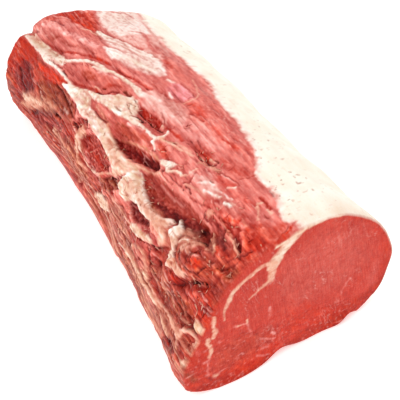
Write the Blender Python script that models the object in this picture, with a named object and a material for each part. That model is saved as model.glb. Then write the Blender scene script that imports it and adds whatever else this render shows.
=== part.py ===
"""Boneless rib eye roll: a whole raw joint of beef in one piece, lying on its flat side.

The near end is a straight cut across the eye muscle, at -Y. The fat cover lies along +X, the ragged
rib side along -X, and the far end is a slanted cut. The origin is under the middle of the joint.

The skin is one lofted surface. A place on it has two numbers: along, from 0 at the near cut to 1 at
the far cut, and station, the knot of the cross-section outline that it lies on, counted from the foot
of the rib side over the top to the fat side and back under the joint.
"""
import bmesh
import bpy
import numpy as np

MM = 0.001

# Driving dimensions, in metres
LENGTH = 0.390            # near cut to far cut, along the middle
NEAR_CUT_LEAN = 0.028     # how far the foot of the near cut stands out, per metre of height
FAR_CUT_DRAW_BACK = 0.008 # how far the far cut lies inside its lips
FAR_CUT_SLANT = 0.38      # how much further the rib side runs back, per metre of width
NEAR_EDGE_ROUND = 0.0022  # how far the near cut's edge is rounded over
FAR_EDGE_ROUND = 0.0060
BASE_FADE = 0.012         # relief fades out over this height above the board

# Cross-section outlines at the two cuts, in millimetres (x, z), one point for each station
NEAR_OUTLINE = [
    (-95, 11), (-93, 31), (-86, 51), (-77, 71), (-60, 96), (-32, 115), (0, 124), (30, 127), (60, 120),
    (86, 94), (98, 60), (94, 37), (80, 15), (56, 1), (25, 0), (-25, 0), (-75, 0),
]
FAR_OUTLINE = [
    (-74, 10), (-77, 27), (-74, 45), (-64, 66), (-46, 88), (-20, 101), (5, 105), (30, 103), (54, 95),
    (74, 76), (82, 48), (79, 28), (68, 11), (50, 1), (25, 0), (-20, 0), (-60, 0),
]
STATIONS = len(NEAR_OUTLINE)
NEAR_CUT_TOP = max(point[1] for point in NEAR_OUTLINE) * MM
SEAM_STATION = -1.0       # the mesh closes on itself under the joint
TAPER_BOW = 0.18          # how far the taper runs ahead of a straight one

# Lips where a cut stands further out: (station, length mm, reach in stations)
NEAR_LIPS = [(15.5, 3.2, 0.5), (13.45, 3.0, 0.35), (11.6, 1.2, 0.6)]
FAR_LIPS = [(4.1, 14.0, 1.9), (5.8, 4.0, 0.8)]

# Broad swells and hollows: (along, station, height mm, reach along, reach in stations)
BROAD_FORMS = [
    (0.54, 1.3, -10.5, 0.25, 1.9),   # waist of the rib side
    (0.05, 1.0, 8.5, 0.09, 1.1),     # heel beside the near cut
    (0.97, 2.9, 3.0, 0.10, 1.0),     # lobe at the far end of the rib side
    (0.70, 8.8, 4.0, 0.22, 1.2),     # crown of the fat side
    (0.10, 12.6, 2.0, 0.10, 0.7),    # roll of lean under the eye muscle
]

# Slow unevenness of the whole skin: height, and the length of its waves along and round
UNEVEN_HEIGHT_MM = 0.9
UNEVEN_WAVES = (5.2, 0.23)

# Muscles that stand up and hollows between them: (path of along and station, half width mm, height mm)
RIDGES = [
    ([(0.90, 4.25), (0.75, 4.15), (0.60, 4.00), (0.40, 3.95), (0.30, 3.85), (0.22, 3.80)], 7, 3.5),
    ([(0.125, 4.15), (0.085, 4.20)], 12, 7.0),                       # rolled end of the rib finger
    ([(0.97, 4.90), (0.86, 5.30), (0.76, 5.85)], 12, 3.0),           # upper chain muscle
    ([(0.80, 4.75), (0.68, 5.25)], 10, 3.0),                         # lower chain muscle
    ([(0.68, 4.55), (0.54, 4.90)], 9, 2.5),                          # strap beside the blade hollow
    ([(0.14, 5.80), (0.06, 5.60)], 13, 3.0),                         # lean over the near cut
    ([(0.88, 7.00), (0.55, 7.10), (0.32, 6.80)], 16, 2.5),           # long muscle beside the fat
]
HOLLOWS = [
    ([(0.38, 4.25), (0.28, 4.50), (0.20, 4.70), (0.135, 4.75)], 12, 9.0),   # bed of a rib
    ([(0.51, 4.35), (0.45, 4.50), (0.38, 4.75)], 7, 5.5),                   # blade hollow
    ([(0.54, 5.38), (0.465, 5.55)], 7, 5.5),                                # pit in the cap
    ([(0.60, 3.50), (0.49, 3.40)], 8, 3.0),                                 # shallow bed on the rib side
    ([(0.49, 3.10), (0.45, 3.35)], 7, 4.5),                                 # torn fibres
    ([(0.38, 3.35), (0.28, 3.50)], 7, 6.0),                                 # hole between rib and fat
    ([(0.23, 3.35), (0.20, 3.15)], 7, 4.5),                                 # ragged pit
    ([(1.02, 4.10), (0.94, 4.20), (0.86, 4.45)], 6, 6.0),                   # fat seam, open at the far end
    ([(0.11, 3.40), (0.045, 4.05)], 4, 5.0),                                # crack under the rolled end
    ([(0.39, 6.05), (0.30, 5.95)], 5, 3.0),                                 # slit in the cap
    ([(0.84, 2.10), (0.66, 2.60), (0.50, 2.45)], 6, 2.5),                   # cleft along the rib side
]

# Mesh density
RINGS = 62                # rings from cut to cut
SHOWN_COLUMNS = 46        # columns on the rib side and the top
PLAIN_COLUMNS = 20        # columns on the fat side and the base
SHOWN_STATIONS = (-0.4, 8.2)
CAP_STEPS = (0.88, 0.62, 0.32)
LIP_FADE = 4              # a lip flattens into its cut with this power of the distance

LEAN_COLOUR = (0.52, 0.085, 0.065, 1.0)
FAT_COLOUR = (0.92, 0.83, 0.66, 1.0)
FAT_STATIONS = (7.6, 11.2)
LEAN_ROUGHNESS = 0.42
FAT_ROUGHNESS = 0.50


def clear_scene():
    """Remove whatever the file holds."""
    for thing in list(bpy.data.objects):
        bpy.data.objects.remove(thing, do_unlink=True)


def closed_curve(outline, station):
    """Points of the smooth closed curve through an outline, at fractional stations."""
    points = np.array(outline, dtype=float) * MM
    count = len(points)
    station = np.mod(station, count)
    knot = np.floor(station).astype(int)
    f = (station - knot)[..., None]
    before, here, after, beyond = (points[(knot + step) % count] for step in (-1, 0, 1, 2))
    return 0.5 * (2 * here + (after - before) * f
                  + (2 * before - 5 * here + 4 * after - beyond) * f ** 2
                  + (3 * here - before - 3 * after + beyond) * f ** 3)


def section(along, station):
    """Point (x, z) of the plain loft, before its relief."""
    share = (along + TAPER_BOW * along * (1 - along))[..., None]
    return closed_curve(NEAR_OUTLINE, station) * (1 - share) + closed_curve(FAR_OUTLINE, station) * share


def girth(station):
    """Distance round the middle section, in millimetres, from station 0."""
    ladder = np.linspace(SEAM_STATION, SEAM_STATION + STATIONS, 400)
    points = section(np.full_like(ladder, 0.5), ladder)
    steps = np.linalg.norm(np.diff(points, axis=0), axis=1)
    reach = np.concatenate([[0.0], np.cumsum(steps)]) / MM
    return np.interp(station, ladder, reach) - np.interp(0.0, ladder, reach)


def distance_to_path(along, station, path):
    """Distance over the skin, in millimetres, to a path of (along, station) points."""
    u, v = along * LENGTH / MM, girth(station)
    corners = [(a * LENGTH / MM, float(girth(np.array(s)))) for a, s in path]
    nearest = np.full(u.shape, np.inf)
    for (u0, v0), (u1, v1) in zip(corners[:-1], corners[1:]):
        du, dv = u1 - u0, v1 - v0
        t = np.clip(((u - u0) * du + (v - v0) * dv) / (du * du + dv * dv), 0.0, 1.0)
        nearest = np.minimum(nearest, np.hypot(u - u0 - t * du, v - v0 - t * dv))
    return nearest


def lips(station, forms):
    """How far a cut stands out round its edge, in metres."""
    total = np.zeros(station.shape)
    for knot, length, reach in forms:
        turn = np.mod(station - knot + STATIONS / 2, STATIONS) - STATIONS / 2
        total += length * MM * np.exp(-(turn / reach) ** 2)
    return total


def relief(along, station):
    """Height of the skin over the plain loft, in metres."""
    waves_along, waves_round = (2 * np.pi * count for count in UNEVEN_WAVES)
    height = UNEVEN_HEIGHT_MM * np.sin(waves_along * along + 1.3 * np.sin(waves_round * station))
    for place, knot, lift, reach_along, reach_round in BROAD_FORMS:
        turn = np.mod(station - knot + STATIONS / 2, STATIONS) - STATIONS / 2
        height += lift * np.exp(-((along - place) / reach_along) ** 2 - (turn / reach_round) ** 2)
    for forms, sign in ((RIDGES, 1.0), (HOLLOWS, -1.0)):
        for path, half_width, lift in forms:
            height += sign * lift * np.exp(-(distance_to_path(along, station, path) / half_width) ** 2)
    return height * MM


def near_cut(_, z):
    """Y of the near cut's plane at a place across the joint."""
    return NEAR_CUT_LEAN * (z - NEAR_CUT_TOP) - 0.5 * LENGTH


def far_cut(x, _):
    """Y of the far cut's plane at a place across the joint."""
    return 0.5 * LENGTH - FAR_CUT_DRAW_BACK - FAR_CUT_SLANT * x


def skin(along, station):
    """Points (x, y, z) of the joint's skin."""
    flat = section(along, station)
    step = 0.02
    tangent = section(along, station + step) - section(along, station - step)
    outward = np.stack([-tangent[..., 1], tangent[..., 0]], axis=-1)
    outward /= np.linalg.norm(outward, axis=-1, keepdims=True)
    fade = np.clip(flat[..., 1] / BASE_FADE, 0.0, 1.0)
    flat = flat + outward * (relief(along, station) * fade)[..., None]
    flat[..., 1] = np.maximum(flat[..., 1], 0.0)
    near_y = near_cut(flat[..., 0], flat[..., 1]) - lips(station, NEAR_LIPS)
    far_y = far_cut(flat[..., 0], flat[..., 1]) + lips(station, FAR_LIPS)
    y = near_y * (1 - along) + far_y * along
    return np.stack([flat[..., 0], y, flat[..., 1]], axis=-1)


def columns():
    """Stations of the mesh columns, closer together where the joint is rugged."""
    low, high = SHOWN_STATIONS
    shown = np.linspace(low, high, SHOWN_COLUMNS, endpoint=False)
    plain = np.linspace(high, low + STATIONS, PLAIN_COLUMNS, endpoint=False)
    return np.concatenate([shown, plain])


def rim(ring, centre, inset):
    """A ring of points drawn in towards its centre by a distance."""
    arm = ring - centre
    reach = np.linalg.norm(arm, axis=1, keepdims=True)
    return centre + arm * (1 - inset / reach)


def cut_rings(ring, plane, edge_round, outward):
    """Rings that round a cut's edge over and close in on its middle, and the middle point."""
    centre = ring.mean(axis=0)
    push = np.array([0.0, edge_round * outward, 0.0])
    shoulder = rim(ring, centre, 0.3 * edge_round) + 0.7 * push
    face = rim(ring, centre, edge_round) + push
    proud = face[:, 1] - plane(face[:, 0], face[:, 2])
    rings = [shoulder, face]
    for step in (*CAP_STEPS, 0.0):
        inner = centre + (face - centre) * step
        inner[:, 1] = plane(inner[:, 0], inner[:, 2]) + proud * step ** LIP_FADE
        rings.append(inner)
    for each in rings:
        each[:, 2] = np.maximum(each[:, 2], 0.0)
    return rings[:-1], rings[-1][0]


def build_mesh(name):
    """The closed skin of the joint as a mesh, with its base flat at z = 0."""
    station = columns()
    count = len(station)
    along = np.linspace(0.0, 1.0, RINGS)
    body = [skin(np.full(count, place), station) for place in along]
    for ring, edge_round, sign in ((body[0], NEAR_EDGE_ROUND, 1.0), (body[-1], FAR_EDGE_ROUND, -1.0)):
        ring[:, 1] += sign * edge_round
    near, near_middle = cut_rings(body[0], near_cut, NEAR_EDGE_ROUND, -1.0)
    far, far_middle = cut_rings(body[-1], far_cut, FAR_EDGE_ROUND, 1.0)
    rings = [*reversed(near), *body, *far]

    points = np.concatenate([*rings, near_middle[None], far_middle[None]])
    low, high = points.min(axis=0), points.max(axis=0)
    points -= [(low[0] + high[0]) / 2, (low[1] + high[1]) / 2, low[2]]

    shape = bmesh.new()
    corners = [shape.verts.new(point) for point in points]
    fat_low, fat_high = FAT_STATIONS
    first_body, last_body = len(near), len(near) + len(body) - 1
    for row in range(len(rings) - 1):
        on_skin = first_body <= row < last_body
        for column in range(count):
            following = (column + 1) % count
            a, b = row * count + column, row * count + following
            face = shape.faces.new([corners[i] for i in (a, b, b + count, a + count)])
            face.material_index = int(on_skin and fat_low < station[column] < fat_high)
    last = (len(rings) - 1) * count
    for column in range(count):
        following = (column + 1) % count
        shape.faces.new([corners[-2], corners[following], corners[column]])
        shape.faces.new([corners[-1], corners[last + column], corners[last + following]])
    bmesh.ops.triangulate(shape, faces=[face for face in shape.faces if len(face.verts) > 3])
    bmesh.ops.recalc_face_normals(shape, faces=shape.faces)
    for face in shape.faces:
        face.smooth = True
    mesh = bpy.data.meshes.new(name)
    shape.to_mesh(mesh)
    shape.free()
    return mesh


def flesh(name, colour, roughness):
    """A moist, non-metallic material."""
    material = bpy.data.materials.new(name)
    material.use_nodes = True
    shader = material.node_tree.nodes["Principled BSDF"]
    shader.inputs["Base Color"].default_value = colour
    shader.inputs["Roughness"].default_value = roughness
    shader.inputs["Metallic"].default_value = 0.0
    material.diffuse_color = colour
    return material


def build_joint():
    """The whole rib eye roll as one object."""
    mesh = build_mesh("rib_eye_roll")
    mesh.materials.append(flesh("raw lean beef", LEAN_COLOUR, LEAN_ROUGHNESS))
    mesh.materials.append(flesh("beef fat", FAT_COLOUR, FAT_ROUGHNESS))
    joint = bpy.data.objects.new("rib_eye_roll", mesh)
    bpy.context.scene.collection.objects.link(joint)
    mesh.set_sharp_from_angle(angle=np.radians(50))
    return joint


clear_scene()
build_joint()
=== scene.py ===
"""Looks of a whole boneless rib eye roll: one raw joint of beef that lies on its flat side.

The joint is one loft between two cuts. A place on its skin has two numbers: along, from 0 at the near cut
to 1 at the far cut, and station, the knot of the cross-section outline, counted from the foot of the rib
side over the top to the fat side and back under the joint. A place on a cut is (x, z) in millimetres. What
the photograph shows is placed by its pixels, in a frame of 400 x 400, and the sight line of a pixel gives the
place on the skin that carries the mark. A path is written as text, "x,y x,y ...", one pair for each corner.
"""
import sys
import logging
import math
from dataclasses import dataclass, field
from enum import Enum
from functools import cache, cached_property
from typing import Callable

import bpy
import numpy as np
from mathutils import Matrix, Vector


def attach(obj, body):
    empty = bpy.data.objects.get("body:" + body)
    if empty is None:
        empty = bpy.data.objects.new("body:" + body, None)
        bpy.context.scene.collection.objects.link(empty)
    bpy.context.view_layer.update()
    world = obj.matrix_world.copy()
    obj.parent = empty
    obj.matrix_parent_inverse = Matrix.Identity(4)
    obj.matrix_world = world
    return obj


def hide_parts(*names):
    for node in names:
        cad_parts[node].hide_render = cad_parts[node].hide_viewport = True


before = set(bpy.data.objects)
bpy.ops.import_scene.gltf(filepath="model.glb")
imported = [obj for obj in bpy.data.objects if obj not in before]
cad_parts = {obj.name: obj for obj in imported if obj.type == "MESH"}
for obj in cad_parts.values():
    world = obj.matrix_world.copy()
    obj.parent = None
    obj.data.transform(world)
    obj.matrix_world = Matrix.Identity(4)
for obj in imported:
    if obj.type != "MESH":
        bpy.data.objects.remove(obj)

log = logging.getLogger("rib_eye_roll")
MM = 0.001
NODE = "rib_eye_roll"
BODY = "root"
GLOSS = 0.040    # share of the white studio that wet meat mirrors, left out of its own colour

Knots = tuple[tuple[float, float], ...]
Corners = list[tuple[float, float]]
Place = Callable[[float, float], tuple[float, float]]


class Tissue(Enum):
    """What a place is made of: the colour it shows in the studio's light, and its share of fat or film; some
    marks lay these colours on as painted light or painted shade.
    """

    SUET = ("#fff7e8", 1.0)
    CREAM = ("#f6e0cc", 1.0)
    TALLOW = ("#f4d0b6", 1.0)
    PEACH = ("#efb79e", 0.8)
    APRICOT = ("#e49d85", 0.5)
    FILM = ("#fae0d5", 0.6)
    VEIL = ("#efb3a8", 0.35)
    BLUSH = ("#f2a098", 0.0)
    ORCHID = ("#e98b8d", 0.0)
    PINK = ("#e27f76", 0.0)
    ROSE = ("#db7268", 0.0)
    LEAN = ("#d05a4e", 0.0)
    CUT = ("#ca5047", 0.0)
    RED = ("#c6463a", 0.0)
    SCARLET = ("#d84a3c", 0.0)
    BRICK = ("#bd5446", 0.0)
    DEEP = ("#ad4238", 0.0)
    MAROON = ("#953127", 0.0)
    WINE = ("#7b2219", 0.0)
    # the darkest tone is painted shade deep in slits and cracks
    CREVICE = ("#60231a", 0.0)
    UMBER = ("#7c3f2f", 0.0)
    BROWN = ("#a05241", 0.0)
    CLAY = ("#c3745f", 0.0)
    SAND = ("#dd9c84", 0.1)


(SUET, CREAM, TALLOW, PEACH, APRICOT, FILM, VEIL, BLUSH, ORCHID, PINK, ROSE, LEAN, CUT, RED, SCARLET,
 BRICK, DEEP, MAROON, WINE, CREVICE, UMBER, BROWN, CLAY, SAND) = Tissue


def linear(hex_colour: str) -> tuple[float, float, float, float]:
    """Linear colour of an sRGB hex value such as "#c8553d"."""
    parts = [int(hex_colour[i:i + 2], 16) / 255 for i in (1, 3, 5)]
    red, green, blue = (p / 12.92 if p <= 0.04045 else ((p + 0.055) / 1.055) ** 2.4 for p in parts)
    return red, green, blue, 1.0


@cache
def flesh(tissue: Tissue) -> np.ndarray:
    """Linear colour of a tissue, less the light that its wet skin mirrors, and its share of fat."""
    colour, fat = tissue.value
    own = (np.array(linear(colour)[:3]) - GLOSS) / (1.0 - GLOSS)
    return np.append(np.maximum(own, 0.004), fat)


def unit(values: np.ndarray) -> np.ndarray:
    """Values held between 0 and 1."""
    return np.clip(values, 0.0, 1.0)


def read_path(path: str) -> Corners:
    """Corners of a path that is written as text."""
    return [tuple(float(number) for number in corner.split(",")) for corner in path.split()]


def grain(u: np.ndarray, v: np.ndarray, cell_u: float, cell_v: float, seed: int) -> np.ndarray:
    """Smooth seeded noise over a surface.

    Args:
        u: First coordinate, in millimetres.
        v: Second coordinate, in millimetres.
        cell_u: Size of a grain along u, in millimetres.
        cell_v: Size of a grain along v, in millimetres.
        seed: Seed of the noise.

    Returns:
        Values from -1 to 1.
    """
    table = np.random.default_rng(seed).uniform(-1.0, 1.0, (127, 113))
    p, q = u / cell_u, v / cell_v
    i, j = np.floor(p).astype(int), np.floor(q).astype(int)
    f, g = p - i, q - j
    f, g = f * f * (3 - 2 * f), g * g * (3 - 2 * g)
    low = table[i % 127, j % 113] * (1 - f) + table[(i + 1) % 127, j % 113] * f
    high = table[i % 127, (j + 1) % 113] * (1 - f) + table[(i + 1) % 127, (j + 1) % 113] * f
    return low * (1 - g) + high * g


def veins(u: np.ndarray, v: np.ndarray, cell_u: float, cell_v: float, width: float, seed: int) -> np.ndarray:
    """Thin wandering lines over a surface, such as fascia or the grooves between bundles of fibres.

    Args:
        u: First coordinate, in millimetres.
        v: Second coordinate, in millimetres.
        cell_u: Rough spacing of the lines along u, in millimetres.
        cell_v: Rough spacing of the lines along v, in millimetres.
        width: Width of a line as a share of its spacing.
        seed: Seed of the lines.

    Returns:
        Values from 0 to 1, 1 on a line.
    """
    waves = grain(u, v, cell_u, cell_v, seed) + 0.45 * grain(u, v, cell_u * 0.41, cell_v * 0.41, seed + 500)
    return unit(1.0 - np.abs(waves) / width)


def soften(values: np.ndarray, steps: int) -> np.ndarray:
    """A grid of values averaged over its neighbours, steps points each way, twice over."""
    for axis in (0, 1):
        for _ in range(2):
            rims = [(steps + 1, steps) if each == axis else (0, 0) for each in (0, 1)]
            total = np.cumsum(np.pad(values, rims, mode="edge"), axis=axis)
            size = 2 * steps + 1
            high = np.take(total, np.arange(size, total.shape[axis]), axis=axis)
            low = np.take(total, np.arange(0, total.shape[axis] - size), axis=axis)
            values = (high - low) / size
    return values


def path_distance(u: np.ndarray, v: np.ndarray, corners: Corners) -> tuple[np.ndarray, np.ndarray]:
    """Distance to a path of straight runs.

    Args:
        u: First coordinate of the places, in millimetres.
        v: Second coordinate of the places, in millimetres.
        corners: The path's corners, in millimetres.

    Returns:
        The distance in millimetres, and how far along the path the nearest point lies, from 0 to 1.
    """
    nearest = np.full(u.shape, np.inf)
    share = np.zeros(u.shape)
    runs = max(len(corners) - 1, 1)
    if len(corners) == 1:
        corners = [corners[0], corners[0]]
    for index, ((u0, v0), (u1, v1)) in enumerate(zip(corners[:-1], corners[1:])):
        du, dv = u1 - u0, v1 - v0
        t = unit(((u - u0) * du + (v - v0) * dv) / (du * du + dv * dv + 1e-9))
        reach = np.hypot(u - u0 - t * du, v - v0 - t * dv)
        closer = reach < nearest
        nearest = np.where(closer, reach, nearest)
        share = np.where(closer, (index + t) / runs, share)
    return nearest, share


@dataclass(frozen=True)
class Stroke:
    """A mark that follows a path, such as a seam of fat or a slit.

    Fields: the tissue, the path, the half width in mm (at the start and at the end where it tapers), the
    softness of its edge in mm, how far it lifts the surface in mm, and its strength.
    """

    tissue: Tissue
    path: str
    width: float | tuple[float, float]
    soft: float = 1.6
    lift: float = 0.0
    strength: float = 1.0

    def cover(self, u: np.ndarray, v: np.ndarray, corners: Corners) -> np.ndarray:
        """How much of each place the stroke covers, from 0 to 1, for corners laid out beside it."""
        reach, share = path_distance(u, v, corners)
        start, end = self.width if isinstance(self.width, tuple) else (self.width, self.width)
        edge = start + (end - start) * share + 0.5 * self.soft
        cover = unit((edge - reach) / self.soft)
        return cover * cover * (3 - 2 * cover)

    def margin(self) -> float:
        """How far from its path the stroke reaches, in millimetres."""
        return (max(self.width) if isinstance(self.width, tuple) else self.width) + self.soft


@dataclass(frozen=True)
class Patch:
    """A mark that fills a polygon, such as a muscle that shows between others."""

    tissue: Tissue
    path: str
    soft: float = 4.0
    lift: float = 0.0
    strength: float = 1.0

    def cover(self, u: np.ndarray, v: np.ndarray, corners: Corners) -> np.ndarray:
        """How much of each place the patch covers, from 0 to 1, for corners laid out beside it."""
        ring = [*corners, corners[0]]
        reach, _ = path_distance(u, v, ring)
        inside = np.zeros(u.shape, dtype=bool)
        for (u0, v0), (u1, v1) in zip(ring[:-1], ring[1:]):
            crosses = (v0 > v) != (v1 > v)
            meet = u0 + (v - v0) * (u1 - u0) / (v1 - v0 if v1 != v0 else 1e-9)
            inside ^= crosses & (u < meet)
        cover = unit(0.5 + np.where(inside, reach, -reach) / self.soft)
        return cover * cover * (3 - 2 * cover)

    def margin(self) -> float:
        """How far from its polygon the patch reaches, in millimetres."""
        return self.soft


Mark = Stroke | Patch


class Canvas:
    """Colour, share of fat and lift of a set of places, which marks are drawn on in order."""

    LEAN_SHADE = np.array([0.85, 1.75, 1.75])    # meat that darkens turns redder, fat that darkens turns tan
    FAT_SHADE = np.array([0.25, 0.6, 0.95])

    def __init__(self, u: np.ndarray, v: np.ndarray, base: Tissue, seed: int) -> None:
        """Start a canvas of one tissue.

        Args:
            u: First coordinate of the places, in millimetres.
            v: Second coordinate of the places, in millimetres.
            base: The tissue to start from.
            seed: Seed of the wander of the marks' edges.
        """
        self.shape = u.shape
        self.flat_u, self.flat_v = u.ravel(), v.ravel()
        wander_u = 0.8 * grain(self.flat_u, self.flat_v, 9, 7, seed)
        wander_v = 0.8 * grain(self.flat_u, self.flat_v, 9, 7, seed + 1)
        wander_u += 0.9 * grain(self.flat_u, self.flat_v, 3.4, 2.4, seed + 2)
        wander_v += 0.7 * grain(self.flat_u, self.flat_v, 3.4, 2.4, seed + 3)
        self.u, self.v = self.flat_u + wander_u, self.flat_v + wander_v
        self.broken = unit(0.86 + 0.42 * grain(self.flat_u, self.flat_v, 2.6, 1.5, seed + 4))
        self.tints = np.tile(flesh(base), (self.u.size, 1))
        self.lift = np.zeros(self.u.size)

    def lay(self, chosen: np.ndarray, cover: np.ndarray, mark: Mark) -> None:
        """Blend a mark's tissue and lift in at the chosen places, broken up by the fibres across it."""
        cover = cover * mark.strength * self.broken[chosen]
        self.tints[chosen] += (flesh(mark.tissue) - self.tints[chosen]) * cover[:, None]
        self.lift[chosen] += mark.lift * cover

    def draw(self, marks: list[Mark], place: Place) -> None:
        """Draw marks in order, where place turns a mark's own coordinates into (u, v)."""
        for mark in marks:
            corners = [place(*corner) for corner in read_path(mark.path)]
            (low_u, low_v), (high_u, high_v) = np.min(corners, axis=0), np.max(corners, axis=0)
            margin = mark.margin() + 1.0
            chosen = np.flatnonzero((self.u > low_u - margin) & (self.u < high_u + margin)
                                    & (self.v > low_v - margin) & (self.v < high_v + margin))
            if chosen.size:
                self.lay(chosen, mark.cover(self.u[chosen], self.v[chosen], corners), mark)

    def blend(self, tissue: Tissue, amount: np.ndarray) -> None:
        """Turn places towards a tissue."""
        self.tints += (flesh(tissue) - self.tints) * unit(amount)[:, None]

    def shade(self, amount: np.ndarray) -> None:
        """Darken places where the amount is negative and pale them where it is positive."""
        fat = unit(self.tints[:, 3:])
        power = self.LEAN_SHADE * (1.0 - fat) + self.FAT_SHADE * fat
        self.tints[:, :3] = np.clip(self.tints[:, :3] * np.exp(amount[:, None] * power), 0.002, 0.97)

    def mottle(self, size: np.ndarray | float, cell_u: float, cell_v: float, seed: int) -> None:
        """Vary the shade with noise of one size of grain."""
        self.shade(size * grain(self.flat_u, self.flat_v, cell_u, cell_v, seed))

    def paint_shade_in_hollows(self, steps: int, depth: float) -> None:
        """Paint shade into what lies lower than its surroundings and paint light onto what stands up."""
        lift = self.lift.reshape(self.shape)
        proud = np.clip(lift - soften(lift, steps), -1.6, 1.2)
        self.shade(depth * proud.ravel())

    def emboss(self, steps: int, depth: np.ndarray) -> None:
        """Raise pale fat, film and bundles over the dark tissue between them, by a depth in millimetres."""
        light = np.log(self.tints[:, :3].mean(axis=1) + 0.03).reshape(self.shape)
        self.lift += (depth * np.clip(light - soften(light, steps), -1.0, 0.6)).ravel()

    def sharpen(self, steps: int, gain: float) -> None:
        """Deepen the steps between light and dark tissue, where folds lie in their own shade."""
        light = np.log(self.tints[:, :3].mean(axis=1) + 0.02).reshape(self.shape)
        self.shade(gain * np.clip(light - soften(light, steps), -0.8, 0.4).ravel())


@dataclass(frozen=True)
class Loft:
    """The joint's main form, in the loft's own coordinates.

    It is the solid's form but for two things that only the scene has: the arches, where the lower edge of the
    near cut stands off the floor, and the waist, where the foot of the rib side is drawn in. In broad and
    waist, a form is its place along, its station, its height in mm and its reach along and round. In ridges
    and hollows, it is a path of (along, station), a half width and a height, both in mm. In the lips, it is a
    station, how far the cut stands out there in mm and the reach round.
    """

    length: float = 0.390
    near_lean: float = 0.028
    far_draw_back: float = 0.008
    far_slant: float = 0.38
    near_round: float = 0.0022
    far_round: float = 0.0060
    base_fade: float = 0.012
    taper_bow: float = 0.18
    seam: float = -1.0
    uneven: tuple[float, float, float] = (0.9, 5.2, 0.23)    # height in mm, waves along and round
    near_outline: Knots = (
        (-95, 11), (-93, 31), (-86, 51), (-77, 71), (-60, 96), (-32, 115), (0, 124), (30, 127), (60, 120),
        (86, 94), (98, 60), (94, 37), (80, 15), (56, 1), (25, 0), (-25, 0), (-75, 0))
    far_outline: Knots = (
        (-74, 10), (-77, 27), (-74, 45), (-64, 66), (-46, 88), (-20, 101), (5, 105), (30, 103), (54, 95),
        (74, 76), (82, 48), (79, 28), (68, 11), (50, 1), (25, 0), (-20, 0), (-60, 0))
    near_lips: tuple = ((15.5, 3.2, 0.5), (13.45, 3.0, 0.35), (11.6, 1.2, 0.6))
    far_lips: tuple = ((4.1, 14.0, 1.9), (5.8, 4.0, 0.8))
    arches: tuple = ((-14, 6.0, 13), (52, 5.5, 10))    # x, height and half width, in millimetres
    arch_depth: float = 0.07
    waist: tuple = (0.67, 0.1, 7.0, 0.20, 1.3)
    broad: tuple = (
        (0.54, 1.3, -10.5, 0.25, 1.9), (0.05, 1.0, 8.5, 0.09, 1.1), (0.97, 2.9, 3.0, 0.10, 1.0),
        (0.70, 8.8, 4.0, 0.22, 1.2), (0.10, 12.6, 2.0, 0.10, 0.7))
    ridges: tuple = (
        (((0.90, 4.25), (0.75, 4.15), (0.60, 4.00), (0.40, 3.95), (0.30, 3.85), (0.22, 3.80)), 7, 3.5),
        (((0.125, 4.15), (0.085, 4.20)), 12, 7.0),
        (((0.97, 4.90), (0.86, 5.30), (0.76, 5.85)), 12, 3.0),
        (((0.80, 4.75), (0.68, 5.25)), 10, 3.0),
        (((0.68, 4.55), (0.54, 4.90)), 9, 2.5),
        (((0.14, 5.80), (0.06, 5.60)), 13, 3.0),
        (((0.88, 7.00), (0.55, 7.10), (0.32, 6.80)), 16, 2.5))
    hollows: tuple = (
        (((0.38, 4.25), (0.28, 4.50), (0.20, 4.70), (0.135, 4.75)), 12, 9.0),
        (((0.51, 4.35), (0.45, 4.50), (0.38, 4.75)), 7, 5.5),
        (((0.54, 5.38), (0.465, 5.55)), 7, 5.5),
        (((0.60, 3.50), (0.49, 3.40)), 8, 3.0),
        (((0.49, 3.10), (0.45, 3.35)), 7, 4.5),
        (((0.38, 3.35), (0.28, 3.50)), 7, 6.0),
        (((0.23, 3.35), (0.20, 3.15)), 7, 4.5),
        (((1.02, 4.10), (0.94, 4.20), (0.86, 4.45)), 6, 6.0),
        (((0.11, 3.40), (0.045, 4.05)), 4, 5.0),
        (((0.39, 6.05), (0.30, 5.95)), 5, 3.0),
        (((0.84, 2.10), (0.66, 2.60), (0.50, 2.45)), 6, 2.5))

    @property
    def stations(self) -> int:
        """Number of knots of the outline."""
        return len(self.near_outline)

    @property
    def near_top(self) -> float:
        """Height of the near cut, in metres."""
        return max(point[1] for point in self.near_outline) * MM

    def outline(self, knots: Knots, station: np.ndarray) -> np.ndarray:
        """Points (x, z) of the smooth closed curve through the knots, in metres."""
        points = np.array(knots, dtype=float) * MM
        station = np.mod(station, self.stations)
        knot = np.floor(station).astype(int)
        f = (station - knot)[..., None]
        before, here, after, beyond = (points[(knot + step) % self.stations] for step in (-1, 0, 1, 2))
        return 0.5 * (2 * here + (after - before) * f
                      + (2 * before - 5 * here + 4 * after - beyond) * f ** 2
                      + (3 * here - before - 3 * after + beyond) * f ** 3)

    def section(self, along: np.ndarray, station: np.ndarray) -> np.ndarray:
        """Points (x, z) of the plain loft, in metres."""
        share = (along + self.taper_bow * along * (1 - along))[..., None]
        near, far = self.outline(self.near_outline, station), self.outline(self.far_outline, station)
        return near * (1 - share) + far * share

    @cached_property
    def ladder(self) -> tuple[np.ndarray, np.ndarray]:
        """Stations, and the distance round the middle section to each, in millimetres."""
        steps = np.linspace(self.seam - 2.0, self.seam + self.stations + 2.0, 900)
        points = self.section(np.full_like(steps, 0.5), steps)
        runs = np.linalg.norm(np.diff(points, axis=0), axis=1)
        reach = np.concatenate([[0.0], np.cumsum(runs)]) / MM
        return steps, reach - np.interp(0.0, steps, reach)

    def girth(self, station: np.ndarray | float) -> np.ndarray:
        """Distance round the middle section from station 0, in millimetres."""
        return np.interp(station, *self.ladder)

    def knot_at(self, reach: np.ndarray) -> np.ndarray:
        """Stations at distances round the middle section, in millimetres."""
        return np.interp(reach, self.ladder[1], self.ladder[0])

    def surface(self, along: np.ndarray, station: np.ndarray) -> tuple[np.ndarray, np.ndarray]:
        """Surface coordinates in millimetres of places on the skin."""
        return along * self.length / MM, self.girth(station)

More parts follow.
